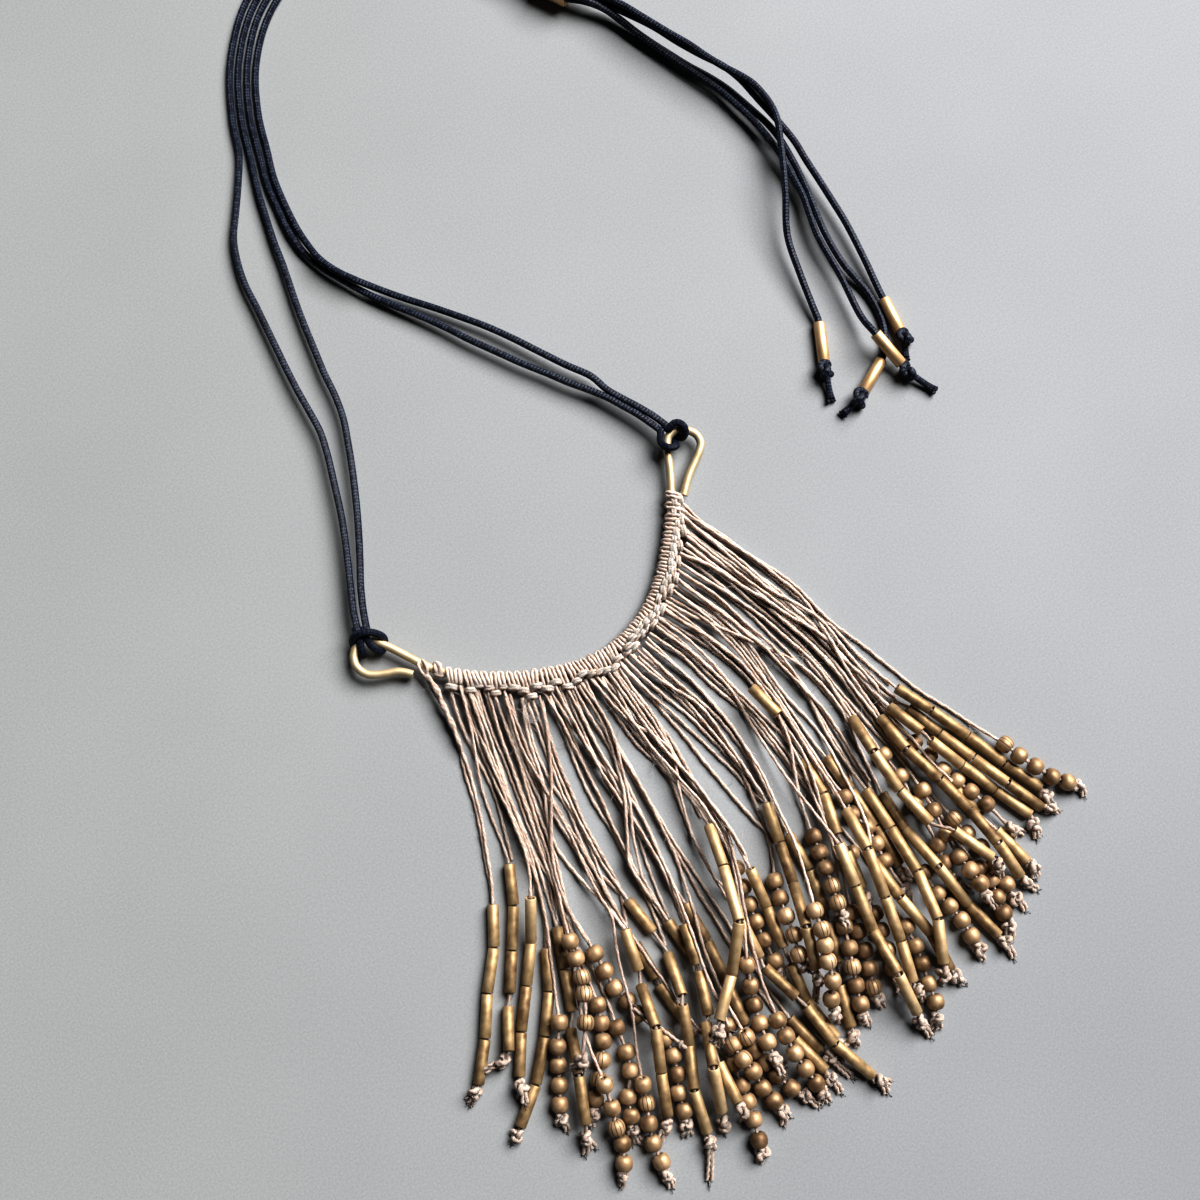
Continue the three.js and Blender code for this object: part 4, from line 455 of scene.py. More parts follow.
# The cords, from hitch to tail: the route with the least height of each point, where the end
# tube is fitted, the knot with its radius, and where the tail ends.
CORDS = [
    {"node": "right_inner_cord", "tube": "end_tube_c",
     "route": [(34.4, 14.6, 3.1), (33.9, 16.5, 2.6), (32.5, 19.5, 1.4), (30, 24, 0.7), (27, 28, 0.7),
         (24.5, 31.5, 0.7), (22, 35.5, 0.7), (19, 40, 0.7), (16, 45, 0.7), (13, 50, 0.7),
         (10.3, 55, 0.7), (7.3, 60, 0.7), (4, 65, 0.7), (1, 70, 0.7), (-1.5, 75, 0.7), (-3.7, 80, 0.7),
         (-5, 85, 0.7), (-5.2, 90, 0.7), (-4.4, 96, 0.7), (-3.4, 102, 0.7), (-1.2, 109, 0.7),
         (1.5, 117, 0.7), (7, 127, 0.7), (15.5, 136, 0.7), (25, 140.5, 0.7), (35, 140.4, 0.7),
         (44, 136, 0.8), (51.5, 128, 1), (57.5, 118, 1.4), (61.1, 111.5, 2.05), (63.8, 107.8, 2.05),
         (66.8, 104, 2.05), (69.9, 100, 2.05), (73, 95.5, 2), (76.5, 88, 1.9), (80, 79, 2),
         (84.5, 69, 2.3), (87, 59, 2.6), (87.7, 50, 3), (86.5, 40, 3), (85, 30, 2.4), (84.8, 22, 1.6),
         (85.6, 14, 0.9), (84.2, 7, 0.8), (81.5, 3, 1.2)],
     "fitted": ((79.5, 1.3), (72.3, -2.3)), "knot": (71, -3, 1.7), "tail": (67, -3.6)},
    {"node": "left_inner_cord", "tube": "end_tube_d",
     "route": [(-35.5, 12.9, 3), (-34.2, 15.5, 2.4), (-31.5, 20, 1.2), (-28.5, 25, 0.7),
         (-25.5, 30, 0.7), (-23, 35, 0.7), (-20.7, 40, 0.7), (-18.6, 45, 0.7), (-16.7, 50, 0.7),
         (-15.6, 55, 0.7), (-15, 60, 0.7), (-14.1, 65, 0.7), (-13.2, 70, 0.7), (-12.2, 75, 0.7),
         (-11, 80, 0.7), (-9.8, 85, 0.7), (-8.8, 90, 0.7), (-7.5, 95, 0.7), (-5.9, 101, 0.7),
         (-3, 109.5, 0.7), (-0.2, 117.6, 0.7), (5.6, 128.2, 0.7), (14.7, 137.7, 0.7), (24.8, 142.4, 0.7),
         (35.5, 142.2, 0.7), (45.2, 137.5, 0.8), (53, 129.2, 1), (59, 119, 1.4), (62.5, 112.6, 2.05),
         (65.1, 108.9, 2.05), (68.2, 105, 2.05), (71.2, 101.1, 2.05), (74.6, 96.6, 2.1), (79.5, 88, 2.4),
         (84, 77, 1.9), (88.3, 69, 2), (89.9, 60, 2.4), (90.4, 50, 2.6), (90.3, 40, 2.6),
         (89.8, 30, 2.4), (88.9, 21, 2), (87.7, 14, 1.4)],
     "fitted": ((87.3, 11.6), (86.2, 4.3)), "knot": (86, 2.4, 1.6), "tail": (84, -0.8)},
    {"node": "right_outer_cord", "tube": "end_tube_b",
     "route": [(35.7, 14.9, 3), (35.2, 17, 2.4), (33.9, 21, 1), (31.6, 25.5, 0.7), (29, 30, 0.7),
         (26, 35, 0.7), (23, 40.5, 0.7), (20.3, 45.5, 0.7), (17.3, 50.5, 0.7), (13.8, 55.5, 0.7),
         (10.5, 60, 0.7), (7, 64.5, 0.7), (4, 68.5, 0.7), (0.5, 73, 0.7), (-1.8, 77, 0.7),
         (-3.2, 81, 0.7), (-3.5, 85, 0.7), (-3.4, 90, 0.7), (-2.7, 96, 0.7), (-1.6, 102, 0.7),
         (0.5, 108.3, 0.7), (3.2, 116.3, 0.7), (8.5, 126, 0.7), (16.6, 134.3, 0.7), (25.2, 138.6, 0.7),
         (34.5, 138.6, 0.7), (42.8, 134.5, 0.8), (50, 126.8, 1), (56, 117, 1.8), (60.6, 110.8, 3.2),
         (63.8, 107.8, 3.75), (66.8, 104, 3.75), (69.9, 100, 3.75), (72.2, 95.2, 3.4), (75.6, 86.4, 2.6),
         (78.6, 78.4, 2), (83, 68.4, 2), (85.4, 58.6, 2.2), (86, 50, 2.5), (84.9, 40, 3), (83.6, 30, 3),
         (82.4, 20, 2.9), (80.8, 10.5, 3)],
     "fitted": ((80.6, 5.8), (82, -1.7)), "knot": (82.3, -3.6, 1.6), "tail": (84.8, -9.5)},
    {"node": "left_outer_cord", "tube": "end_tube_a",
     "route": [(-37, 12.9, 3.1), (-35.9, 15.9, 2.4), (-34, 20, 1.2), (-31.7, 25, 0.7), (-29.3, 30, 0.7),
         (-27, 35, 0.7), (-25, 40, 0.7), (-23.3, 45, 0.7), (-22, 50, 0.7), (-21.6, 55, 0.7),
         (-21.3, 60, 0.7), (-20.8, 65, 0.7), (-20.2, 70, 0.7), (-19.6, 75, 0.7), (-19, 80, 0.7),
         (-18.5, 85, 0.7), (-17.3, 90, 0.7), (-15.3, 95, 0.7), (-11.8, 100, 0.7), (-8.3, 105, 0.7),
         (-4.9, 110.4, 0.7), (-1.9, 118.2, 0.7), (4.2, 129.3, 0.7), (13.9, 139.4, 0.7),
         (24.5, 144.2, 0.7), (36, 144, 0.7), (46.4, 139, 0.8), (54.6, 130.4, 1), (60.5, 120, 1.8),
         (63.5, 112.8, 3.3), (65.1, 108.9, 3.75), (68.2, 105, 3.75), (71.2, 101.1, 3.75),
         (75.4, 97.2, 3.3), (81, 88.5, 2), (85.5, 77, 1.8), (90, 67.5, 2.4), (91.7, 60, 3.6),
         (90, 53, 5.2), (86.5, 47, 5.6), (82.5, 40, 5), (78.3, 33, 3.4), (76, 25, 2.4),
         (74.4, 18, 1.6)],
     "fitted": ((73.6, 14.6), (69.7, 7.3)), "knot": (68.8, 5.6, 1.6), "tail": (66.5, 0.2)},
]

# Threads that aren't charted to a bead: those laid under all the strings, and those over them.
UNDER = [
    [(-28.2, -8), (-30.3, -17), (-31.6, -27.5), (-33.3, -34.5), (-35.6, -41)],
    [(-23.5, -10), (-26, -20), (-28, -30), (-30, -40), (-31, -46)],
    [(-24.6, -8), (-27, -16), (-29.4, -26), (-31.4, -38), (-33.6, -46)],
    [(-30.7, -3.5), (-31.6, -14), (-34.6, -24), (-37.3, -32), (-41.5, -42.5)],
    [(-20.2, -15), (-23.2, -22), (-24.6, -30), (-25.5, -37), (-28.5, -43), (-30, -47)],
    [(-19, -14.5), (-21.7, -22), (-23.7, -30), (-24.4, -38), (-24.6, -47)],
    [(-17.5, -16.5), (-20, -24), (-21.5, -32), (-21.9, -40), (-22.8, -45), (-24.8, -62.8)],
    [(-16.5, -16), (-19, -26), (-20.8, -36), (-21.7, -45), (-23.3, -52), (-24.8, -61)],
    [(-14.5, -19), (-17.8, -28), (-19.4, -36), (-20.6, -45), (-21.7, -56), (-24.3, -63)],
    [(-12.8, -19), (-14.8, -28), (-16.5, -37), (-16.9, -47), (-17.8, -55), (-19.3, -66), (-20.3, -70)],
    [(-11, -18.7), (-12.8, -26), (-14.8, -36), (-16.5, -46), (-17.3, -56), (-18.3, -68)],
    [(-12.2, -18), (-12.2, -30), (-12, -42), (-16.6, -52.5), (-18, -61), (-17.8, -66)],
    [(-9.5, -19.5), (-11.6, -30), (-13, -40), (-13, -49), (-15.5, -58), (-17, -66)],
    [(-8.4, -19.5), (-10.4, -32), (-12.3, -44), (-12.7, -54), (-13.2, -60), (-15, -68)],
    [(-8, -20), (-8.6, -30), (-9.4, -40), (-11, -50), (-13, -60), (-14.5, -70)],
    [(-2.3, -21), (-1, -34), (-0.4, -44), (-1.4, -54)],
    [(0.5, -21.4), (1.8, -31), (1.6, -43), (0.4, -54), (-1, -64)],
    [(2, -20.8), (3.3, -29), (4.6, -40), (5.2, -50), (6.6, -60)],
    [(1.8, -21.5), (3.6, -30), (6, -38.5), (7.7, -46), (9.3, -56)],
    [(3, -20.6), (5.4, -30), (8, -40), (9.8, -50), (10.3, -58)],
    [(6, -20.5), (8.6, -30), (10.2, -40), (10.6, -52)],
    [(7, -21), (8.9, -29), (10.8, -36), (12.4, -46), (12.4, -56)],
    [(9.9, -19.3), (13, -27.5), (14.7, -35), (16.3, -41), (17.6, -50), (18.3, -60)],
    [(13.2, -17.5), (18, -27.5), (20.3, -35), (21.6, -43), (21.4, -51), (21.8, -62)],
    [(14.8, -17.5), (18.2, -25), (21, -33), (22.4, -41), (22.5, -52), (21.6, -64)],
    [(18, -14.5), (21.5, -22), (23.3, -28), (23.7, -36), (22.8, -48), (22.3, -59), (21.8, -67)],
    [(22.4, -10.7), (25.6, -18), (28.4, -27), (30.2, -36), (31.4, -45), (32.6, -54)],
    [(24.4, -8.3), (28.8, -17), (32, -26), (34.4, -36), (35.8, -46), (37, -55)],
    [(25.8, -8.5), (29, -15.5), (31.5, -23), (33.8, -33), (35.8, -44), (37.8, -58)],
    [(26.8, -8), (30.2, -15.5), (33, -23), (35.8, -32), (37.6, -42), (38.3, -52)],
    [(27.5, -4.1), (31.2, -13), (34.3, -22), (37.3, -33), (39.6, -44), (42.4, -56)],
    [(29.2, -2.5), (33.4, -13), (36.8, -22), (39.4, -31), (41, -42), (43, -53)],
    [(21, -11.1), (24, -19), (26.4, -28), (27.8, -38), (28.4, -50), (27.4, -62)],
]

OVER = [
    [(-14.5, -18), (-17, -25), (-20.5, -31), (-24.7, -38), (-28.5, -44), (-31.5, -52), (-32, -61)],
    [(-7.2, -20.5), (-7.3, -30), (-9, -36), (-11.5, -42.5), (-15.5, -50), (-17.5, -54), (-17.9, -60)],
    [(-6.5, -20.3), (-6.5, -30), (-8.2, -36.5), (-10.6, -43), (-14.6, -50.5), (-17, -57)],
    [(-4.5, -20.5), (-3, -30), (0.5, -40), (-2.3, -48), (-4.8, -56), (-6, -65)],
    [(20.3, -14.5), (23.3, -22.5), (25.8, -31), (27, -35), (28.8, -46), (29.5, -52), (29, -66)],
    [(27.9, -3), (29.8, -9.5), (31.8, -17), (34.3, -25), (38.3, -33.5), (39.6, -42), (40.3, -52)],
    [(-1, -21), (-0.5, -31), (-0.4, -39), (1.2, -49), (1.6, -58), (1.2, -64)],
    [(-3.4, -20.3), (-2.3, -31), (-1.5, -42), (-0.4, -52), (-0.4, -58)],
    [(4.3, -20.6), (7, -29), (9.7, -35), (10.5, -41), (10.6, -50), (10.4, -57)],
]

# The lower row of knots on the band, from left to right.
SECOND_KNOTS = [
    (-27.6, -7.3), (-25.6, -7), (-24.8, -9.9), (-23, -10), (-21.6, -11.5), (-21.2, -13),
    (-19.3, -12.8), (-17.7, -14), (-16.5, -15.5), (-15.8, -17.3), (-13.9, -16.2), (-12.5, -17.7),
    (-10.5, -17.5), (-9, -19.5), (-7, -19.5), (-5.3, -19), (-3.8, -19.9), (-2.3, -20.5), (-1, -21),
    (0.5, -21.4), (2, -20.3), (4.3, -20.2), (6, -20.1), (7.5, -18.7), (8.7, -18.7), (10, -18.2),
    (11.5, -18.4), (13, -17.2), (14.6, -16.9), (16.4, -14.5), (18, -14.5), (18.8, -12.8),
    (20.2, -13.2), (21, -11.1), (22.4, -10.7), (22.7, -8.9), (24.4, -8.3), (25, -6.4), (26.7, -6.1),
    (27.5, -4.1), (28.2, -1.7), (29.7, -0.5),
]

# The knot that starts the lower row, and the threads tied round the wire beside it.
FIRST_KNOT = (-28.3, -3.9)
END_TIES = [
    [(-30.5, -2.9, 1.9), (-30.8, -1.6, 2.6), (-30.5, -0.2, 2.9), (-29.9, 0.4, 1.9), (-29.4, -0.3, 2.9),
     (-29.5, -1.7, 2.9), (-30.4, -2.9, 2.1)],
    [(-28.7, -4.1, 1.9), (-28.2, -2.6, 2.9), (-27.7, -1.7, 2.2), (-27.2, -2.5, 2.9), (-27.8, -3.8, 2.7),
     (-28.6, -4.1, 2.0)],
]

# The thick twisted thread at the band's left end, and a loose thread with its knot, which lies at
# the fringe's lower left.
TWIST_ROUTE = [(-30.5, -2.4, 2.2), (-30.2, -5.7, 2.2), (-30.8, -9.5, 2.1), (-31.3, -13.2, 1.9),
               (-32.4, -18.6, 1.5)]
LOOSE_THREAD = [(-31.6, -76, 3.4), (-29.6, -81, 3.3), (-28.2, -84.8, 3.0), (-27.6, -86.2, 2.8)]
LOOSE_KNOT = (-27.5, -86.4, 2.8)


dice = random.Random(11)
FULL_TURN = 6.28        # for the spin of beads and knots


# ---- lines and heights --------------------------------------------------------------------------
def smooth_line(points, step):
    """A centripetal Catmull-Rom line through the points, with a point about every step."""
    p = np.asarray(points, float)
    if len(p) < 3:
        count = max(2, int(np.linalg.norm(p[-1] - p[0]) / step) + 1)
        t = np.linspace(0, 1, count)[:, None]
        return p[0] * (1 - t) + p[-1] * t
    ends = np.vstack([2 * p[0] - p[1], p, 2 * p[-1] - p[-2]])
    knots = np.concatenate([[0], np.cumsum(np.linalg.norm(np.diff(ends, axis=0), axis=1) ** 0.5)])
    line = []
    for i in range(1, len(ends) - 2):
        t0, t1, t2, t3 = knots[i - 1:i + 3]
        count = max(1, int(round(np.linalg.norm(ends[i + 1] - ends[i]) / step)))
        t = np.linspace(t1, t2, count + 1)[:-1, None]
        a1 = ((t1 - t) * ends[i - 1] + (t - t0) * ends[i]) / (t1 - t0)
        a2 = ((t2 - t) * ends[i] + (t - t1) * ends[i + 1]) / (t2 - t1)
        a3 = ((t3 - t) * ends[i + 1] + (t - t2) * ends[i + 2]) / (t3 - t2)
        b1 = ((t2 - t) * a1 + (t - t0) * a2) / (t2 - t0)
        b2 = ((t3 - t) * a2 + (t - t1) * a3) / (t3 - t1)
        line.append(((t2 - t) * b1 + (t - t1) * b2) / (t2 - t1))
    return np.vstack(line + [p[-1:]])


def unit(way):
    """The same direction, of length 1."""
    return way / np.linalg.norm(way)


def held_up(line, height):
    """Lifts the line's own points to be nowhere lower than the height."""
    line[:, 2] = np.maximum(line[:, 2], height)
    return line


def wire_height(y):
    """The wire tilts up from the knotted arc to the eyes, which lie on the hitches."""
    return 1.4 + 0.036 * (y - BAR_MIDDLE[1])


class Heap:
    """Balls that have been put down on the table, and how high the next one lies on them."""

    cell = 4

    def __init__(self, gap):
        self.gap = gap
        self.cells = {}
        self.balls = []

    def put(self, x, y, z, r, node):
        ball = (x, y, z, r, node)
        self.cells.setdefault((math.floor(x / self.cell), math.floor(y / self.cell)), []).append(ball)
        self.balls.append(ball)

    def rest(self, x, y, radius, node):
        """The height of a ball's middle where it lies on the table or on other nodes' balls."""
        z = radius
        column = math.floor(x / self.cell)
        row = math.floor(y / self.cell)
        for i in (column - 1, column, column + 1):
            for j in (row - 1, row, row + 1):
                for bx, by, bz, br, other in self.cells.get((i, j), ()):
                    reach = radius + br + self.gap
                    apart = (x - bx) ** 2 + (y - by) ** 2
                    if other != node and apart < reach * reach:
                        z = max(z, bz + math.sqrt(reach * reach - apart))
        return z


def joint(x, y, r, kind="thread", least=0.0, opens=False):
    """A point of a string or cord that is to be laid, no lower than its least height."""
    return {"x": x, "y": y, "r": r, "kind": kind, "least": least, "opens": opens}


def part_way(a, b, t):
    """Where a share t of the way from joint a to joint b is reached."""
    return a["x"] + (b["x"] - a["x"]) * t, a["y"] + (b["y"] - a["y"]) * t


def lay(heap, joints, node):
    """The places of the joints laid over what the heap holds, with each stretch between them
    held clear of it. The route is then put down itself."""
    heights = [max(j["least"], heap.rest(j["x"], j["y"], j["r"], node)) for j in joints]
    first = joints[0]
    shared = [ball for ball in heap.balls if ball[4] == node
              and math.hypot(ball[0] - first["x"], ball[1] - first["y"]) < 0.1]
    stretches = []
    for a, b in zip(joints, joints[1:]):
        length = math.hypot(b["x"] - a["x"], b["y"] - a["y"])
        joined = a["kind"] == b["kind"] and not b["opens"] and a["kind"] != "round"
        r = min(a["r"], b["r"]) if joined else THREAD_REACH
        stretches.append((a, b, length, max(2, math.ceil(length / LAY_STEP)), r))
    for _ in range(LAY_PASSES):
        for i, (a, b, length, steps, r) in enumerate(stretches):
            for k in range(1, steps):
                t = k / steps
                now = heights[i] + (heights[i + 1] - heights[i]) * t
                lack = max(0.0, heap.rest(*part_way(a, b, t), r, node) - now)
                share = lack / ((1 - t) ** 2 + t ** 2)
                heights[i] += share * (1 - t)
                heights[i + 1] += share * t
    for i in range(1, len(joints)):
        heights[i] = max(heights[i], heights[i - 1] - STEEPEST * stretches[i - 1][2])
    for i in range(len(joints) - 2, -1, -1):
        heights[i] = max(heights[i], heights[i + 1] - STEEPEST * stretches[i][2])
    if shared:
        heights[0] = shared[0][2]
    for j, z in zip(joints, heights):
        heap.put(j["x"], j["y"], z, j["r"], node)
    for i, (a, b, length, steps, r) in enumerate(stretches):
        for k in range(1, steps):
            t = k / steps
            heap.put(*part_way(a, b, t), heights[i] + (heights[i + 1] - heights[i]) * t, r, node)
    return [np.array([j["x"], j["y"], z]) for j, z in zip(joints, heights)]


def string_joints(row):
    """The joints of a charted string: its lead, its beads and its knot."""
    joints = [joint(x, y, 0.4) for x, y in row["lead"]]
    if row["kind"] == "round":
        joints += [joint(x, y, ROUND_RADIUS, "round") for x, y in row["beads"]]
    else:
        for i, run in enumerate(row["beads"]):
            for k, (x, y) in enumerate(run):
                opens = k == 0 and (i > 0 or len(row["lead"]) > 0)
                joints.append(joint(x, y, TUBE_RADIUS, "tube", opens=opens))
    if row["knot"]:
        joints.append(joint(*row["knot"], "knot"))
    return joints


def put_lock(heap, start, end, route):
    """Puts down a flat lock of threads as rows of five balls across it."""
    r = LOCK_THICKNESS / 2
    for i in range(len(route) - 1):
        (x0, y0), (x1, y1) = route[i], route[i + 1]
        length = math.hypot(x1 - x0, y1 - y0)
        steps = math.ceil(length / LAY_STEP)
        for k in range(steps + 1):
            t = k / steps
            half = (start + (end - start) * (i + t) / (len(route) - 1)) / 2 - r
            for out in (-half, -half / 2, 0, half / 2, half):
                heap.put(x0 + (x1 - x0) * t - (y1 - y0) / length * out,
                         y0 + (y1 - y0) * t + (x1 - x0) / length * out, r, r, "fringe_head")


def strand_line(heap, points, start_z, end_z, node):
    """A thin thread along the points, over what the heap holds, then put down on it."""
    flat = smooth_line([(x, y, 0) for x, y in points], STRAND_STEP)
    way = np.diff(flat, axis=0, append=flat[-1:] * 2 - flat[-2:-1])
    side = np.column_stack([-way[:, 1], way[:, 0]]) / np.linalg.norm(way[:, :2], axis=1)[:, None]
    reach = np.arange(len(flat)) * STRAND_STEP
    fade = np.clip(np.minimum(reach, reach[-1] - reach) / 6, 0, 1)
    sway = fade * (0.14 * np.sin(reach / dice.uniform(3, 5) + dice.uniform(0, 6.3))
                   + 0.05 * np.sin(reach / dice.uniform(1.2, 2) + dice.uniform(0, 6.3)))
    flat[:, :2] += side * sway[:, None]
    z = np.array([heap.rest(x, y, THREAD_RADIUS, node) for x, y, _ in flat])
    z[0] = max(z[0], start_z)
    if end_z is not None:
        z[-1] = end_z
    for i in range(1, len(z)):
        z[i] = max(z[i], z[i - 1] - STRAND_FALL * STRAND_STEP)
    for i in range(len(z) - 2, -1, -1):
        z[i] = max(z[i], z[i + 1] - STRAND_CLIMB * STRAND_STEP)
    for _ in range(3):
        z[1:-1] = np.maximum(z[1:-1], (z[:-2] + 2 * z[1:-1] + z[2:]) / 4)
    line = np.column_stack([flat[:, 0], flat[:, 1], z])
    for x, y, h in line:
        heap.put(x, y, h, THREAD_RADIUS, node)
    return line


# ---- laying everything down, the lowest first ---------------------------------------------------
wire_line = smooth_line([(x, y, wire_height(y)) for x, y in WIRE_ROUTE], 0.4)
cad_heap = Heap(CLEARANCE)
thread_heap = Heap(THREAD_GAP)
for lock in LOCKS:
    put_lock(cad_heap, *lock)

strands = [strand_line(thread_heap, points, UNDER_HEIGHT, None, f"under_{index}")
           for index, points in enumerate(UNDER)]

laid_strings = []
for index, row in enumerate(STRINGS):
    joints = string_joints(row)
    first = len(row["lead"])
    places = lay(cad_heap, joints, row["node"])[first:]
    kinds = [j["kind"] for j in joints[first:]]
    opens = [j["opens"] for j in joints[first:]]
    laid_strings.append({"row": row, "places": places, "kinds": kinds, "opens": opens})
    name = f"row_{index}"
    if row["way"]:
        points = row["way"] + [tuple(places[0][:2])]
        strands.append(strand_line(thread_heap, points, UNDER_HEIGHT, places[0][2], name))
    radius = TUBE_RADIUS if row["kind"] == "tube" else THREAD_RADIUS
    for a, b in zip(places, places[1:]):
        count = max(1, int(np.linalg.norm(b - a) / STRUNG_STEP))
        for k in range(count):
            thread_heap.put(*(a + (b - a) * k / count), radius, name)
    for place, kind in zip(places, kinds):
        if kind == "round":
            thread_heap.put(*place, ROUND_RADIUS, name)

for index, points in enumerate(OVER):
    strands.append(strand_line(thread_heap, points, OVER_HEIGHT, None, f"over_{index}"))

laid_cords = []
for row in CORDS:
    joints = [joint(x, y, CORD_RADIUS, "cord", least) for x, y, least in row["route"]]
    joints += [joint(x, y, END_TUBE["outer"], "cord") for x, y in row["fitted"]]
    joints.append(joint(*row["knot"], "cord"))
    joints.append(joint(*row["tail"], CORD_RADIUS, "cord"))
    laid_cords.append(lay(cad_heap, joints, row["node"]))


def in_row(points):
    """Chart points as points of the row frame, in metres."""
    return (np.asarray(points, float) - BAR_MIDDLE) * MM


# ---- meshes -------------------------------------------------------------------------------------
def link(obj):
    bpy.context.scene.collection.objects.link(obj)
    return obj


def mark(mesh, label, values):
    """Keeps a number or a direction for every point of the mesh, under a name."""
    data = np.asarray(values, np.float32)
    kind, field = ("FLOAT", "value") if data.ndim == 1 else ("FLOAT_VECTOR", "vector")
    mesh.attributes.new(label, kind, "POINT").data.foreach_set(field, data.ravel())


def mesh_piece(name, verts, faces, material, smooth=True):
    """A piece from its points in the row frame, in metres."""
    mesh = bpy.data.meshes.new(name)
    mesh.from_pydata([tuple(v) for v in verts], [], faces)
    mesh.update()
    if smooth:
        mesh.polygons.foreach_set("use_smooth", [True] * len(mesh.polygons))
    mesh.materials.append(material)
    return link(bpy.data.objects.new(name, mesh))


def runs_mesh(name, runs):
    """One line of edges for each run, with how thick and how dark the thread is there."""
    verts, edges, thick, tone = [], [], [], []
    for run in runs:
        start = len(verts)
        line = in_row(run["line"])
        verts.extend(line.tolist())
        edges.extend((start + i, start + i + 1) for i in range(len(line) - 1))
        thick.extend(np.broadcast_to(run.get("thick", 1.0), len(line)))
        tone.extend([run.get("tone", 0.5)] * len(line))
    mesh = bpy.data.meshes.new(name)
    mesh.from_pydata(verts, edges, [])
    mark(mesh, "thick", thick)
    mark(mesh, "tone", tone)
    return mesh


def lathe(profile, sides):
    """Verts and faces of a profile (r, z) turned about Z, closed if it ends where it starts."""
    verts, faces = [], []
    for r, z in profile:
        for k in range(sides):
            turn = 2 * math.pi * k / sides
            verts.append((r * math.cos(turn), r * math.sin(turn), z))
    for i in range(len(profile) - 1):
        for k in range(sides):
            a = i * sides + k
            b = i * sides + (k + 1) % sides
            faces.append((a, b, b + sides, a + sides))
    return verts, faces


# ---- node trees ---------------------------------------------------------------------------------
class Nodes:
    """A node tree under construction. Inputs are given by name or number, as values or sockets."""

    def __init__(self, tree):
        self.tree = tree

    def node(self, kind, settings=None, inputs=None):
        made = self.tree.nodes.new(kind)
        for key, value in (settings or {}).items():
            setattr(made, key, value)
        for key, value in (inputs or {}).items():
            self.put(made, key, value)
        return made

    def put(self, made, key, value):
        if isinstance(value, bpy.types.NodeSocket):
            self.tree.links.new(value, made.inputs[key])
        else:
            made.inputs[key].default_value = value

    def math(self, operation, a, b=0.0, clamp=False):
        settings = {"operation": operation, "use_clamp": clamp}
        return self.node("ShaderNodeMath", settings, {0: a, 1: b}).outputs[0]

    def add(self, a, b):
        return self.math("ADD", a, b)

    def less(self, a, b):
        return self.math("SUBTRACT", a, b)

    def times(self, a, b):
        return self.math("MULTIPLY", a, b)


class ShapeTree(Nodes):
    """A geometry node tree, which starts from the object's own mesh and ends in its material."""

    def __init__(self, name, sockets):
        super().__init__(bpy.data.node_groups.new(name, "GeometryNodeTree"))
        face = self.tree.interface
        face.new_socket("Geometry", in_out="INPUT", socket_type="NodeSocketGeometry")
        for label, kind in sockets + [("Material", "Material")]:
            face.new_socket(label, in_out="INPUT", socket_type=f"NodeSocket{kind}")
        face.new_socket("Geometry", in_out="OUTPUT", socket_type="NodeSocketGeometry")
        self.given = self.tree.nodes.new("NodeGroupInput").outputs

    def step(self, kind, shape, settings=None, inputs=None):
        """A node that takes the shape as its first input and gives it on changed."""
        made = self.node(kind, settings, inputs)
        self.put(made, 0, shape)
        return made.outputs[0]

    def named(self, label, kind="FLOAT"):
        """What the mesh keeps at its points under this name."""
        made = self.node("GeometryNodeInputNamedAttribute", {"data_type": kind}, {"Name": label})
        return made.outputs["Attribute"]

    def captured(self, shape, label, value):
        """Holds a value on to the shape as it is here: the shape, and the value held."""
        made = self.node("GeometryNodeCaptureAttribute")
        made.capture_items.new("FLOAT", label)
        self.put(made, "Geometry", shape)
        self.put(made, label, value)
        return made.outputs["Geometry"], made.outputs[label]

    def stored(self, shape, label, value):
        """Keeps a value at the shape's points, for the material to read."""
        return self.step("GeometryNodeStoreNamedAttribute", shape,
                         {"data_type": "FLOAT", "domain": "POINT"}, {"Name": label, "Value": value})

    def ended(self, shape):
        shape = self.step("GeometryNodeSetShadeSmooth", shape)
        shape = self.step("GeometryNodeRealizeInstances", shape)
        shape = self.step("GeometryNodeSetMaterial", shape, None, {"Material": self.given["Material"]})
        self.put(self.node("NodeGroupOutput"), 0, shape)
        return self.tree


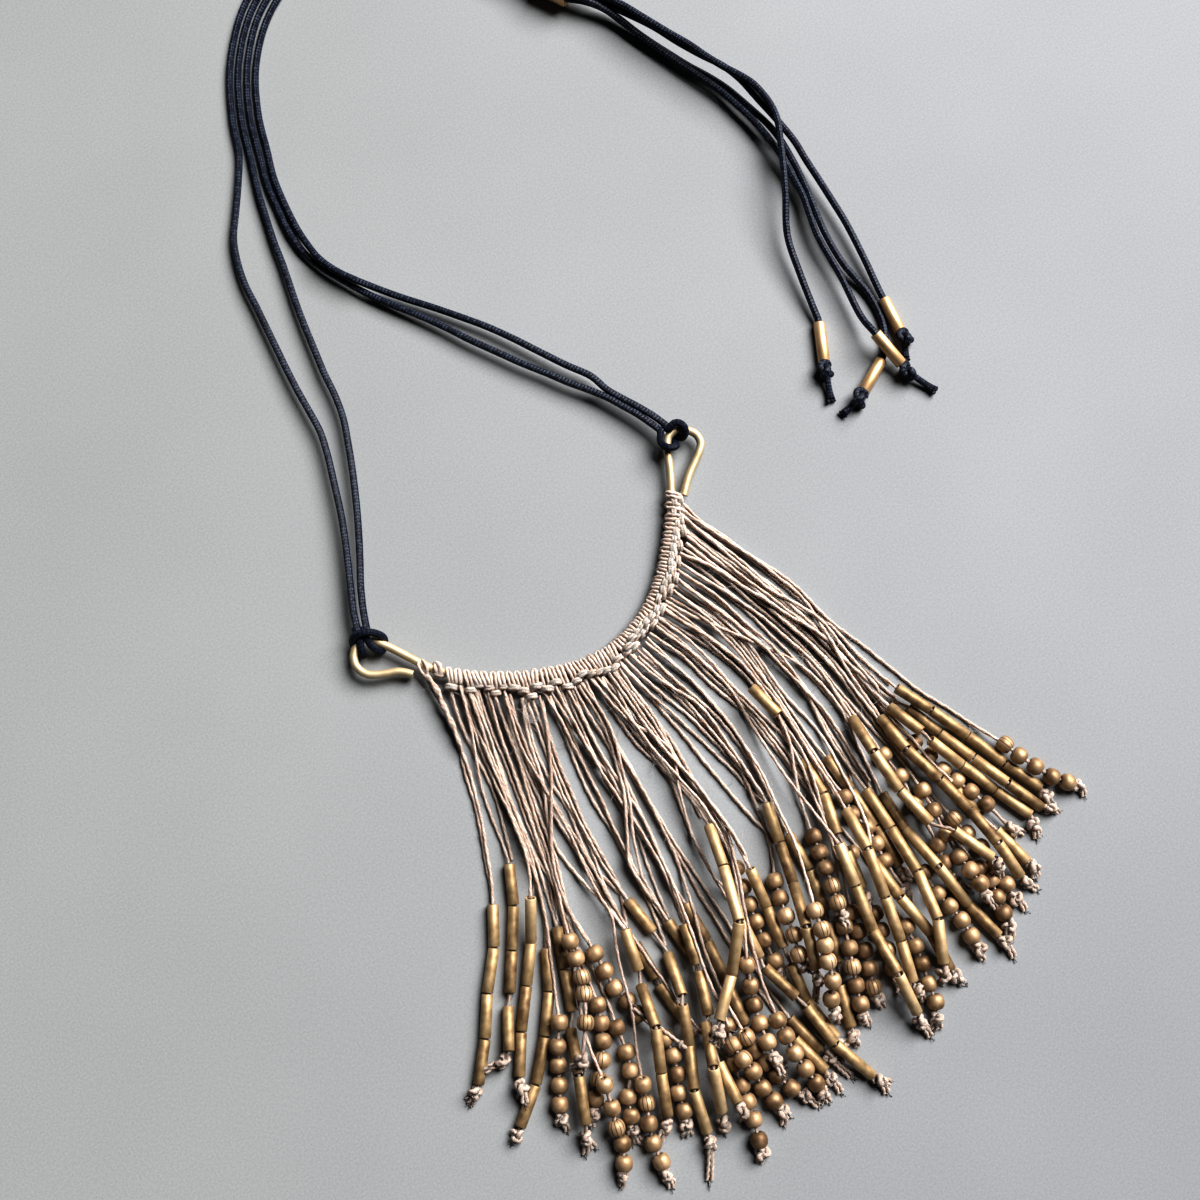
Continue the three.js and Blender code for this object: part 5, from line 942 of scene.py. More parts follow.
def thread_tree():
    """Sweeps a two-ply section along every line of edges, turning it about the line."""
    t = ShapeTree("twisted thread", [("Sides", "Int"), ("Radius", "Float"), ("Waist", "Float"),
                                     ("Pitch", "Float")])
    length = t.node("GeometryNodeSplineParameter").outputs["Length"]
    twist = t.times(t.math("DIVIDE", length, t.given["Pitch"]), 2 * math.pi)
    start = t.times(t.named("tone"), 9.0)
    thick = t.times(t.named("thick"), t.given["Radius"])
    line = t.step("GeometryNodeMeshToCurve", t.given["Geometry"])
    line = t.step("GeometryNodeSetCurveRadius", line, None, {"Radius": thick})
    line = t.step("GeometryNodeSetCurveNormal", line, {"mode": "Z_UP"})
    line = t.step("GeometryNodeSetCurveTilt", line, None, {"Tilt": t.add(twist, start)})
    line, along = t.captured(line, "Along", length)

    # The section is a ring of radius 1, drawn in along one direction to a waist between two plies.
    ring = t.node("GeometryNodeCurvePrimitiveCircle", None,
                  {"Resolution": t.given["Sides"], "Radius": 1.0})
    place = t.node("GeometryNodeInputPosition").outputs[0]
    split = t.node("ShaderNodeSeparateXYZ", None, {0: place}).outputs
    lobes = t.less(t.times(split[0], split[0]), t.times(split[1], split[1]))
    pinch = t.times(t.less(1.0, lobes), 0.5)
    shrink = t.less(1.0, t.times(pinch, t.given["Waist"]))
    drawn_in = t.node("ShaderNodeVectorMath", {"operation": "SCALE"}, {0: place, "Scale": shrink})
    section = t.step("GeometryNodeSetPosition", ring.outputs["Curve"], None,
                     {"Position": drawn_in.outputs[0]})
    share = t.node("GeometryNodeSplineParameter").outputs["Factor"]
    section, around = t.captured(section, "Around", share)

    radius = t.node("GeometryNodeInputRadius").outputs[0]
    swept = t.step("GeometryNodeCurveToMesh", line, None,
                   {"Profile Curve": section, "Scale": radius, "Fill Caps": True})
    swept = t.stored(swept, "along", along)
    swept = t.stored(swept, "around", around)
    return t.ended(swept)


def bead_tree():
    """Places a bead on every point, turned along its thread and then about it."""
    t = ShapeTree("beads on threads", [("Bead", "Object")])
    bead = t.node("GeometryNodeObjectInfo", None, {"Object": t.given["Bead"], "As Instance": True})
    ahead = t.node("FunctionNodeAlignRotationToVector", {"axis": "Z"},
                   {"Vector": t.named("ahead", "FLOAT_VECTOR")})
    spin = t.node("FunctionNodeAxisAngleToRotation", None, {"Axis": (0, 0, 1), "Angle": t.named("spin")})
    turn = t.node("FunctionNodeRotateRotation", {"rotation_space": "LOCAL"},
                  {0: ahead.outputs[0], 1: spin.outputs[0]})
    points = t.step("GeometryNodeMeshToPoints", t.given["Geometry"])
    beads = t.step("GeometryNodeInstanceOnPoints", points, None, {
        "Instance": bead.outputs["Geometry"], "Rotation": turn.outputs[0],
        "Scale": t.named("stretch", "FLOAT_VECTOR")})
    return t.ended(beads)


THREAD_TREE = thread_tree()
BEAD_TREE = bead_tree()


def baked(obj, tree, values):
    """Runs the tree on the object and keeps the outcome as a plain mesh."""
    shape = obj.modifiers.new("shape", "NODES")
    shape.node_group = tree
    for item in tree.interface.items_tree:
        if item.in_out == "INPUT" and item.name in values:
            shape[item.identifier] = values[item.name]
    bpy.context.view_layer.update()
    graph = bpy.context.evaluated_depsgraph_get()
    made = bpy.data.meshes.new_from_object(
        obj.evaluated_get(graph), preserve_all_data_layers=True, depsgraph=graph)
    obj.modifiers.clear()
    rough = obj.data
    obj.data = made
    bpy.data.meshes.remove(rough)
    made.name = obj.name
    return obj


def thread_piece(name, runs, material, radius=THREAD_RADIUS, sides=8, waist=0.24, pitch=6.0):
    """Threads along the runs, each twisted once round in every pitch."""
    obj = link(bpy.data.objects.new(name, runs_mesh(name, runs)))
    values = {"Sides": sides, "Radius": radius * MM, "Waist": waist, "Pitch": pitch * MM,
              "Material": material}
    return baked(obj, THREAD_TREE, values)


def round_piece(name, runs, material, radius, sides):
    """Wires or cords along the runs, plain and round."""
    return thread_piece(name, runs, material, radius, sides, 0.0, UNTWISTED)


def bead_piece(name, beads, model, material):
    """Beads of one model, each with its place, its way ahead, stretch, tone and spin."""
    mesh = bpy.data.meshes.new(name)
    mesh.from_pydata(in_row([bead["place"] for bead in beads]).tolist(), [], [])
    for label in ("ahead", "stretch", "tone", "spin"):
        mark(mesh, label, [bead[label] for bead in beads])
    obj = link(bpy.data.objects.new(name, mesh))
    return baked(obj, BEAD_TREE, {"Bead": model, "Material": material})


# ---- finishes -----------------------------------------------------------------------------------
class Finish(Nodes):
    """A material under construction."""

    def __init__(self, name, roughness, metallic=0.0):
        self.material = bpy.data.materials.new(name)
        self.material.use_nodes = True
        super().__init__(self.material.node_tree)
        self.place = self.node("ShaderNodeTexCoord").outputs["Object"]
        self.shader = self.tree.nodes["Principled BSDF"]
        self.coat("Roughness", roughness)
        self.coat("Metallic", metallic)

    def coat(self, key, value):
        self.put(self.shader, key, value)

    def attribute(self, label):
        return self.node("ShaderNodeAttribute", {"attribute_name": label}).outputs["Fac"]

    def noise(self, size, detail):
        """Clouds of about this size in millimetres."""
        inputs = {"Vector": self.place, "Scale": 1 / (size * MM), "Detail": detail}
        return self.node("ShaderNodeTexNoise", None, inputs).outputs["Fac"]

    def ramp(self, factor, *stops):
        made = self.node("ShaderNodeValToRGB", None, {"Fac": factor})
        band = made.color_ramp.elements
        while len(band) < len(stops):
            band.new(0.5)
        for element, (at, colour) in zip(band, stops):
            element.position = at
            element.color = (*colour, 1)
        return made.outputs["Color"]

    def mix(self, factor, a, b, blend="MIX"):
        """Two colours mixed. The node's colour sockets are its inputs 6 and 7 and its output 2."""
        made = self.node("ShaderNodeMix", {"data_type": "RGBA", "blend_type": blend}, {0: factor})
        for key, colour in ((6, a), (7, b)):
            self.put(made, key, (*colour, 1) if isinstance(colour, tuple) else colour)
        return made.outputs[2]

    def bump(self, height, strength, distance):
        inputs = {"Strength": strength, "Distance": distance * MM, "Height": height}
        self.coat("Normal", self.node("ShaderNodeBump", None, inputs).outputs[0])


def seams(f, count=12, reach=0.19, width=0.74, least_tone=0.42):
    """Thin lines from hole to hole, on one side of the paler beads."""
    turn = f.attribute("meridian")
    near = f.math("LESS_THAN", f.math("ABSOLUTE", f.less(turn, 0.5)), reach)
    line = f.math("GREATER_THAN", f.math("COSINE", f.times(turn, 2 * math.pi * count)), width)
    shown = f.math("GREATER_THAN", f.attribute("tone"), least_tone)
    return f.times(f.times(near, line), shown)


def brass(name, light, mid, dark, roughness, unevenness, metallic):
    """Raw brass: a warm body colour that varies from bead to bead and in soft patches. A bead's tone
    also carries painted shade: beads low in the heap are painted darker.
    """
    f = Finish(name, roughness, metallic)
    patches = f.noise(1.8, 4.0)
    grain = f.noise(0.3, 2.0)
    shade = f.add(f.times(patches, 0.6), f.times(f.attribute("tone"), 0.4))
    body = f.ramp(shade, (0.24, dark), (0.46, mid), (0.72, light))
    seam_colour = tuple(0.5 * c for c in dark)
    f.coat("Base Color", f.mix(f.times(seams(f), 0.85), body, seam_colour))
    f.coat("Roughness", f.add(f.times(grain, 0.16), roughness - 0.08))
    f.bump(f.add(patches, f.times(grain, 0.3)), unevenness, 0.08)
    return f.material


def thread_finish(name, pale, dark, streak_length=0.9, streak_count=3):
    """Waxed two-ply thread, with streaks that follow the twist and a little light let through."""
    f = Finish(name, 0.62)
    fibres = f.noise(0.22, 3.0)
    patches = f.noise(3.0, 2.0)
    twist = f.math("SINE", f.add(f.times(f.attribute("along"), 2 * math.pi / (streak_length * MM)),
                                 f.times(f.attribute("around"), 2 * math.pi * streak_count)))
    streaks = f.add(f.times(twist, 0.14), fibres)
    shade = f.add(f.times(streaks, 0.55), f.times(patches, 0.35))
    shade = f.add(shade, f.times(f.attribute("tone"), 0.2))
    f.coat("Base Color", f.ramp(shade, (0.36, dark), (0.66, pale)))
    f.coat("Specular IOR Level", 0.45)
    f.coat("Subsurface Weight", 0.85)
    f.coat("Subsurface Radius", (1.0, 0.82, 0.68))
    f.coat("Subsurface Scale", 0.9 * MM)
    f.bump(streaks, 0.5, 0.05)
    return f.material


def cord_finish(name, flecks, braid_length=1.36, braid_count=4):
    """A tight navy braid with small pale flecks."""
    f = Finish(name, 0.46)
    along = f.times(f.attribute("along"), 2 * math.pi / (braid_length * MM))
    around = f.times(f.attribute("around"), 2 * math.pi * braid_count)
    weave = f.times(f.math("SINE", f.add(along, around)), f.math("SINE", f.less(along, around)))
    gate = f.math("GREATER_THAN", f.noise(0.9, 2.0), 0.5)
    fleck = f.times(f.math("GREATER_THAN", weave, 0.45), gate)
    base = f.ramp(f.noise(0.5, 3.0), (0.3, (0.006, 0.008, 0.0165)), (0.7, (0.0125, 0.0185, 0.039)))
    f.coat("Base Color", f.mix(f.times(fleck, flecks), base, (0.13, 0.165, 0.235)))
    f.coat("Specular IOR Level", 0.27)
    f.bump(weave, 0.5, 0.1)
    return f.material


# Brass: the light, middle and dark colour, then how rough, how uneven and how metallic it is.
WIRE = brass("bar_brass", (0.62, 0.53, 0.385), (0.54, 0.445, 0.30), (0.38, 0.28, 0.15),
             0.54, 0.14, 0.5)
BRIGHT = brass("bright_brass", (0.72, 0.525, 0.325), (0.61, 0.425, 0.245), (0.42, 0.265, 0.13),
               0.48, 0.12, 0.62)
TUBES = brass("aged_brass_tubes", (0.66, 0.515, 0.33), (0.42, 0.305, 0.175), (0.165, 0.105, 0.053),
              0.55, 0.3, 0.46)
ROUNDS = brass("aged_brass_rounds", (0.68, 0.51, 0.345), (0.43, 0.305, 0.19), (0.17, 0.107, 0.06),
               0.54, 0.4, 0.46)
THREAD = thread_finish("taupe_thread", (0.565, 0.485, 0.435), (0.28, 0.205, 0.165))
# A paler copy of the thread, with lighter shaded parts, for the band's loops and knots: painted light.
KNOTS_PAINTED_PALER = thread_finish("taupe_thread_knots", (0.58, 0.49, 0.44), (0.40, 0.315, 0.265))
# A darker copy of the thread for the threads through the beads and the end knots: painted shade, as they
# face up into the light.
ENDS_PAINTED_DARKER = thread_finish("taupe_thread_ends", (0.46, 0.385, 0.34), (0.25, 0.19, 0.155))
CORD = cord_finish("navy_cord", 0.6)
HITCH = cord_finish("navy_cord_dark", 0.12)


def settle(piece, slot, *nodes):
    """Every piece rides on the one body; it may stand for CAD nodes."""
    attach(piece, "root")
    if nodes:
        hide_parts(*nodes)
    return piece


# ---- camera -------------------------------------------------------------------------------------
def aimed(name, data, place, target):
    """A camera or a lamp at a place, turned towards the target."""
    obj = link(bpy.data.objects.new(name, data))
    obj.location = place
    obj.rotation_euler = (Vector(target) - Vector(place)).to_track_quat("-Z", "Y").to_euler()
    return obj


lens = bpy.data.cameras.new("camera")
lens.lens = 48
lens.sensor_width = 36
lens.clip_start = 0.01
lens.clip_end = 10
eye = Vector((-28.8, -42.6, 304.9)) * MM
bpy.context.scene.camera = aimed("camera", lens, eye, Vector((5.7, 9.7, 0.0)) * MM)


# ---- cords --------------------------------------------------------------------------------------
def tube_between(name, a, b, inner, outer, material, sides=24, rim=0.12):
    """A thin brass tube from a to b with rounded rims, open at both ends."""
    length = float(np.linalg.norm(b - a))
    near = [(inner, rim), (inner + 0.3 * rim, 0), (outer - 0.6 * rim, 0), (outer, 0.8 * rim)]
    far = [(r, length - z) for r, z in reversed(near)]
    verts, faces = lathe(near + far + near[:1], sides)
    turn = Vector((b - a) / length).to_track_quat("Z", "Y").to_matrix()
    place = [np.array(turn @ Vector(v)) + a for v in verts]
    piece = mesh_piece(name, in_row(place), faces, material)
    mark(piece.data, "tone", [0.55] * len(verts))
    return piece


def trefoil(centre, radius, thickness, ahead, turn, squash):
    """The line of an overhand knot about a centre, threaded along `ahead`."""
    t = np.linspace(0.35, 2 * math.pi - 0.35, 34)
    line = np.column_stack([np.sin(t) + 2 * np.sin(2 * t), -np.sin(3 * t) * 1.4,
                            np.cos(t) - 2 * np.cos(2 * t)]) / 3.0
    line *= radius - thickness
    line[:, 1] *= squash
    ahead = Vector(ahead).normalized()
    axes = ahead.to_track_quat("X", "Z").to_matrix() @ Matrix.Rotation(turn, 3, "X")
    return np.array([np.array(axes @ Vector(p)) for p in line]) + centre


# ---- slider -------------------------------------------------------------------------------------
# It is drawn a little aside from the plain model's and turned, to where the drawn cords run.
heading = math.radians(SLIDER["heading"] + SLIDER_TURN)
slider_middle = np.array([SLIDER["x"] + SLIDER_SHIFT[0], SLIDER["y"] + SLIDER_SHIFT[1], SLIDER["outer"]])
half = np.array([math.cos(heading), math.sin(heading), 0]) * SLIDER["length"] / 2
slider = tube_between("cord_slider_brass", slider_middle - half, slider_middle + half,
                      SLIDER["inner"], SLIDER["outer"], BRIGHT, sides=48, rim=0.22)
settle(slider, "bright_brass", "cord_slider")

# ---- the four cords -----------------------------------------------------------------------------
# How each cord leaves its hitch, well above the table and close beside its neighbour: how many of
# its route's first points are left out, and the points that stand in for them.
STARTS = {
    "right_outer_cord": (4, [
        (35.6, 13.0, 3.2), (34.56, 16.25, 3.0), (33.1, 19.6, 2.8), (31.5, 22.8, 2.6),
        (30.0, 26.0, 2.5)]),
    "right_inner_cord": (4, [
        (34.2, 12.4, 3.2), (33.5, 14.7, 3.0), (32.2, 18.3, 2.8), (30.7, 21.5, 2.6), (29.1, 24.7, 2.5)]),
    "left_outer_cord": (6, [
        (-36.8, 11.3, 3.3), (-35.5, 15.2, 3.1), (-33.4, 19.7, 2.9), (-31.3, 24.2, 2.7),
        (-29.2, 28.8, 2.6), (-27.3, 33.4, 2.5)]),
    "left_inner_cord": (5, [
        (-35.3, 10.5, 3.3), (-33.8, 14.4, 3.1), (-31.7, 18.8, 2.9), (-29.3, 23.0, 2.7),
        (-26.9, 27.3, 2.6), (-24.6, 31.7, 2.5)]),
}

# Between the slider and the crossing the cords lie in two pairs, one cord of each over the other.
# For each cord: the route's last point before the slider, the first after, and those between.
MIDDLES = {
    "left_outer_cord": ((54.6, 130.4), (86.5, 47), [
        (59.6, 123.5, 1.6), (64.2, 117.4, 2.7), (67.9, 110.0, 3.75), (69.9, 106.5, 3.75),
        (71.8, 103.0, 3.75), (74.1, 100.1, 3.9), (76.3, 97.3, 4.2), (78.3, 93.6, 4.8),
        (80.3, 88.4, 5.2), (82.8, 82.2, 5.4), (84.7, 78.0, 5.4), (86.1, 74.0, 5.4), (87.8, 69.9, 5.4),
        (89.7, 66.1, 5.4), (90.7, 63.4, 5.4), (91.1, 60.2, 5.3), (91.1, 57.7, 5.2), (90.7, 55.3, 5.1),
        (89.9, 53.2, 5.1), (88.7, 51.0, 5.1)]),
    "left_inner_cord": ((53, 129.2), (88.9, 21), [
        (58.2, 122.4, 1.2), (63.2, 116.6, 1.7), (67.9, 110.0, 2.05), (69.9, 106.5, 2.05),
        (71.8, 103.0, 2.05), (74.1, 99.8, 2.3), (76.2, 96.6, 2.8), (78.0, 92.9, 3.4),
        (81.2, 86.4, 3.9), (83.6, 80.3, 4.0), (85.9, 75.4, 4.0), (88.3, 70.8, 4.0), (89.6, 66.4, 3.9),
        (90.0, 63.0, 3.8), (90.3, 60.0, 3.7), (90.7, 56.8, 3.6), (91.1, 52.7, 3.4), (91.3, 49.0, 3.2),
        (91.0, 44.4, 2.9), (90.8, 39.6, 2.7), (90.5, 34.5, 2.5), (90.1, 29.2, 2.4)]),
    "right_inner_cord": ((51.5, 128), (84.8, 22), [
        (56.8, 121.4, 1.2), (62, 115.9, 1.7), (66.6, 109.3, 2.05), (68.6, 105.8, 2.05),
        (70.6, 102.3, 2.05), (72.9, 100.2, 1.95), (75.0, 97.6, 1.8), (76.3, 95.3, 1.5),
        (77.3, 92.4, 1.2), (78.5, 89.1, 1.0), (80.0, 84.9, 0.9), (81.8, 80.3, 0.9), (83.6, 75.9, 0.9),
        (85.6, 71.8, 0.9), (87.2, 67.6, 1.0), (88.1, 63.9, 1.1), (88.8, 60.3, 1.3), (89.4, 56.7, 1.6),
        (89.6, 53.6, 1.9), (89.5, 51.1, 2.1), (89.2, 48.4, 2.3), (88.7, 44.9, 2.4), (88.2, 42.0, 2.4),
        (87.5, 38.6, 2.4), (86.3, 34.1, 2.4), (85.2, 28.8, 2.2)]),
    "right_outer_cord": ((50, 126.8), (82.4, 20), [
        (55.6, 120.4, 1.5), (60.9, 115, 2.6), (66.6, 109.3, 3.75), (68.6, 105.8, 3.75),
        (70.6, 102.3, 3.75), (72.9, 99.5, 3.6), (75.0, 96.4, 3.0), (76.7, 92.9, 2.5),
        (78.2, 88.0, 2.3), (79.7, 83.2, 2.2), (81.1, 79.2, 2.2), (82.5, 75.3, 2.2), (84.0, 71.3, 2.2),
        (85.5, 66.9, 2.2), (86.5, 62.2, 2.3), (87.1, 58.9, 2.4), (87.4, 55.6, 2.5), (87.5, 52.2, 2.6),
        (87.5, 49.2, 2.7), (87.3, 46.7, 2.7), (86.9, 44.0, 2.7), (86.5, 41.2, 2.8), (86.0, 38.3, 2.9),
        (84.8, 34.5, 3.0), (83.5, 29.8, 3.0)]),
}


def held_off(place, start, lift=1.7, fades_over=90):
    """A cord comes down slowly: lifted beside its hitch, less so further on, not at the slider."""
    away = np.linalg.norm(place[:2] - np.array(start[:2]))
    clear = np.linalg.norm(place[:2] - slider_middle[:2])
    share = np.clip(1 - away / fades_over, 0, 1)
    return place + UP * lift * share * np.clip((clear - 15) / 30, 0, 1)


def cord_line(row, places):
    """A cord's line from its hitch through the slider and the end tube into its knot."""
    count = len(row["route"])
    tube_start, tube_end, knot, _ = places[count:]
    skipped, start = STARTS[row["node"]]
    leave, meet, between = MIDDLES[row["node"]]
    corners = [point[:2] for point in row["route"]]
    neck = [held_off(place, start[-1]) for place in places[skipped:corners.index(leave) + 1]]
    falling = places[corners.index(meet):count]
    into_knot = tube_end + (knot - tube_end) * 0.6
    line = start + neck + between + falling + [tube_start, tube_end, into_knot]
    return held_up(smooth_line(line, 1.0), CORD_RADIUS)


def cord_end(row, before, knot, tail):
    """The overhand knot, the cord through it, the tail past it and the tail's frayed tip."""
    wound = trefoil(knot + UP * 0.15, row["knot"][2] + 0.62, 0.66, knot - before,
                    turn=0.4, squash=0.95)
    past = smooth_line([knot, (knot + tail) / 2, tail], 0.6)
    flare = 1.0 + 0.3 * np.clip(1 - np.arange(len(past))[::-1] / 2.5, 0, 1)
    held_up(past, 0.66 * flare)
    ahead = unit(knot - before)
    runs = [{"line": held_up(wound, 0.7), "thick": 1.06}, {"line": past, "thick": flare},
            {"line": [knot - ahead * 1.2, knot, knot + ahead * 0.9], "thick": 1.7}]
    outward = unit(past[-1] - past[-3])
    across = np.array([-outward[1], outward[0], 0])
    for k in range(-3, 4):
        tip = past[-1] + outward * dice.uniform(0.3, 0.6) + across * k * 0.27
        tip[2] = max(tip[2] + dice.uniform(-0.4, 0.2), 0.3)
        runs.append({"line": [past[-4], past[-2], tip], "thick": [0.6, 0.55, 0.45]})
    return runs


for row, places in zip(CORDS, laid_cords):
    name = row["node"]
    tube_start, tube_end, knot, tail = places[len(row["route"]):]
    line = cord_line(row, places)
    cord = round_piece(name + "_braid", [{"line": line}], CORD, CORD_RADIUS, sides=14)
    settle(cord, "navy_cord", name)
    fitting = tube_between(row["tube"] + "_brass", tube_start, tube_end,
                           END_TUBE["inner"], END_TUBE["outer"], BRIGHT)
    settle(fitting, "bright_brass", row["tube"])
    end = round_piece(name + "_knot", cord_end(row, tube_end, knot, tail), CORD,
                      CORD_KNOT_RADIUS, sides=12)
    settle(end, "navy_cord")


# ---- hitches on the eyes ------------------------------------------------------------------------
def hitch_piece(name, routes, node):
    """The turns of a doubled cord about an eye."""
    runs = [{"line": smooth_line(route, 0.5)} for route in routes]
    settle(round_piece(name, runs, HITCH, HITCH_RADIUS, sides=14), "navy_cord", node)


hitch_piece("left_hitch_cord", [
    [(-36.9, 12.4, 3.1), (-37.2, 10.8, 3.4), (-37.5, 9.6, 3.4), (-38.0, 8.4, 3.1), (-38.4, 7.4, 2.4),
     (-38.6, 7.6, 1.2), (-38.5, 9, 0.85), (-38.9, 9.6, 1.0)],
    [(-35.8, 11.6, 3.1), (-35.9, 10.2, 3.4), (-36.1, 8.7, 3.4), (-36.0, 7.3, 3.1), (-35.4, 6.2, 2.4),
     (-34.8, 6.2, 1.2), (-34.2, 7.0, 0.85), (-33.6, 7.4, 1.0)],
    [(-38.4, 9.2, 0.85), (-38.9, 9.7, 1.3), (-38.8, 10.3, 2.7), (-38.1, 10.7, 4.0), (-37.0, 10.7, 4.7),
     (-35.9, 10.3, 4.9), (-34.9, 9.7, 4.7), (-34.0, 8.9, 4.1), (-33.4, 8.1, 3.0), (-33.5, 7.5, 1.5),
     (-34.2, 7.1, 0.85)],
], "left_hitch")
hitch_piece("right_hitch_cord", [
    [(34.2, 13.4, 3.1), (33.6, 12.2, 3.3), (32.8, 11.1, 3.5), (32.7, 9.8, 3.9), (33.4, 8.8, 4.2),
     (34.4, 8.5, 3.7), (35.2, 9, 2.4), (35.1, 10.1, 1.1), (34.6, 11.2, 0.8)],
    [(35.2, 13.4, 3.2), (35.3, 12.2, 3.4), (36.0, 12.3, 3.8), (36.9, 12.5, 4.1), (37.8, 11.9, 4.2),
     (38.15, 10.8, 4.0), (37.8, 9.8, 3.3), (37.0, 9.6, 2.2), (36.7, 10.4, 1.2), (37.1, 11.2, 1.0),
     (36.6, 11.8, 0.8)],
], "right_hitch")

# ---- the bar wire -------------------------------------------------------------------------------
# The left hook is drawn a little narrower than the plain model's, and the right hook a little lower.
drawn_wire = np.array(wire_line)
crown = int(np.argmax(drawn_wire[:, 1]))
left = np.clip((-37.5 - drawn_wire[:, 0]) / 3.5, 0, 1)
right = np.clip((drawn_wire[:, 1] - 2) / 9, 0, 1) * (drawn_wire[:, 0] > 20)
right[crown:] = right[crown]
drawn_wire[:, 0] += 0.5 * left - 0.52 * right
drawn_wire[:, 1] -= 0.3 * left + 0.6 * right
wire = round_piece("bar_wire_brass", [{"line": drawn_wire}], WIRE, DRAWN_WIRE_RADIUS, sides=20)
settle(wire, "bright_brass", "bar_wire")

# ---- the knot band ------------------------------------------------------------------------------
band_points = [(x, y, wire_height(y)) for x, y in WIRE_ROUTE[KNOTTED[0] - 1:KNOTTED[1] + 2]]
band_wire = smooth_line(band_points, 0.1)
band_arc = np.concatenate([[0], np.cumsum(np.linalg.norm(np.diff(band_wire, axis=0), axis=1))])


def wire_at(s):
    """The wire's middle, s millimetres along the band."""
    return np.array([np.interp(s, band_arc, band_wire[:, k]) for k in range(3)])


def wire_ahead(s):
    """The level direction in which the wire runs there."""
    ahead = wire_at(s + 0.5) - wire_at(s - 0.5)
    ahead[2] = 0
    return unit(ahead)


def nearest_on_band(x, y):
    """The number of the band's point that lies nearest."""
    return int(np.argmin(np.linalg.norm(band_wire[:, :2] - np.array([x, y]), axis=1)))


def loop_place(x, y):
    """How far along the wire the loop above a second-row knot sits."""
    return band_arc[nearest_on_band(x, y)] - np.interp(x, (-28, -10, 10), (0.9, 0.4, 0))


def loop_line(s, foot, spread):
    """A thread looped over the wire: up one leg, round behind the wire, and down the other."""
    place = wire_at(s)
    ahead = wire_ahead(s)
    down = foot - place
    down[2] = 0
    down = unit(down)
    line = []
    for side in (-1, 1):
        edge = place + ahead * side * spread
        leg = [foot + ahead * side * 0.3, edge + down * 1.5 + UP * 0.7,
               edge + down * 0.3 + UP * (WIRE_RADIUS + 0.42), edge - down * 0.75 + UP * 0.62]
        line += leg if side < 0 else leg[::-1]
    line.insert(4, place - down * (1.12 + dice.uniform(-0.08, 0.1)) + UP * 0.1)
    return smooth_line(line, 0.35)


# Each loop is drawn most of the way to the mean place of the seven loops about it.
hits = sorted(loop_place(x, y) for x, y in SECOND_KNOTS)
before = [2 * hits[0] - h for h in hits[3:0:-1]]
after = [2 * hits[-1] - h for h in hits[-2:-5:-1]]
even = np.convolve(before + hits + after, np.ones(7) / 7, mode="valid")
loops = []
for (x, y), hit, spaced in zip(SECOND_KNOTS, hits, even):
    s = 0.15 * hit + 0.85 * spaced + dice.uniform(-0.08, 0.08)
    s += 0.6 * np.clip(1 - (hits[-1] - hit) / 4, 0, 1)
    slant = wire_ahead(s) * dice.uniform(-0.3, 0.3)
    loops.append({"line": loop_line(s, np.array([x, y, 1.0]) + slant, dice.uniform(0.34, 0.46)),
                  "tone": dice.uniform(0.4, 1), "thick": dice.uniform(0.95, 1.25)})
# A sleeve of thread in the darkest tone along the wire under the loops: painted shade that keeps the
# holes between the loops dark where the wire would show.
painted_shade_sleeve = [wire_at(s) for s in np.arange(hits[4], hits[-1] + 0.7, 0.6)]
loops.append({"line": painted_shade_sleeve, "tone": 0.1, "thick": (WIRE_RADIUS + 0.32) / LOOP_RADIUS})
for route, tone, thick in zip(END_TIES, (0.5, 0.7), (1.0, 1.25)):
    loops.append({"line": smooth_line(route, 0.35), "tone": tone, "thick": thick})
settle(thread_piece("fringe_head_loops", loops, KNOTS_PAINTED_PALER, LOOP_RADIUS, waist=0.2, pitch=3.0),
       "taupe_thread", "fringe_head")

# On the band's right half smaller knots sit between the lower row and the wire.
upper_knots = []
for (x0, y0), (x1, y1) in zip(SECOND_KNOTS[:-1], SECOND_KNOTS[1:]):
    if min(x0, x1) > 3:
        middle = np.array([(x0 + x1) / 2, (y0 + y1) / 2])
        inward = unit(band_wire[nearest_on_band(*middle), :2] - middle)
        upper_knots.append(tuple(middle + inward * dice.uniform(0.7, 1.1)))


def wound_knot(x, y, z):
    """Nearly two turns of thread about a line across the wire."""
    centre = np.array([x, y, z])
    ahead = wire_ahead(np.interp(x, band_wire[:, 0], band_arc))
    level = unit(ahead + np.array([dice.uniform(-0.15, 0.15), dice.uniform(-0.15, 0.15), 0]))
    along = np.array([level[1], -level[0], 0])
    wide = 0.8 + dice.uniform(-0.1, 0.16)
    thick = dice.uniform(0.9, 1.2)
    angles = np.linspace(-0.6, 2 * math.pi * 1.9 - 0.6, 30)
    drift = np.linspace(-0.34, 0.34, len(angles))
    line = [centre + level * wide * math.cos(t) + UP * (0.6 * math.sin(t)) + along * d
            for t, d in zip(angles, drift)]
    return {"line": line, "tone": dice.random(), "thick": thick}


wound = [wound_knot(x, y, LOWER_KNOT_HEIGHT) for x, y in SECOND_KNOTS + [FIRST_KNOT]]
wound += [wound_knot(x, y, UPPER_KNOT_HEIGHT) for x, y in upper_knots]
settle(thread_piece("fringe_head_knots", wound, KNOTS_PAINTED_PALER, BAND_KNOT_RADIUS, waist=0.2, pitch=3.0),
       "taupe_thread", "fringe_head")

# ---- the fringe's threads -----------------------------------------------------------------------
bead_places = np.array([place[:2] for laid in laid_strings for place in laid["places"]])


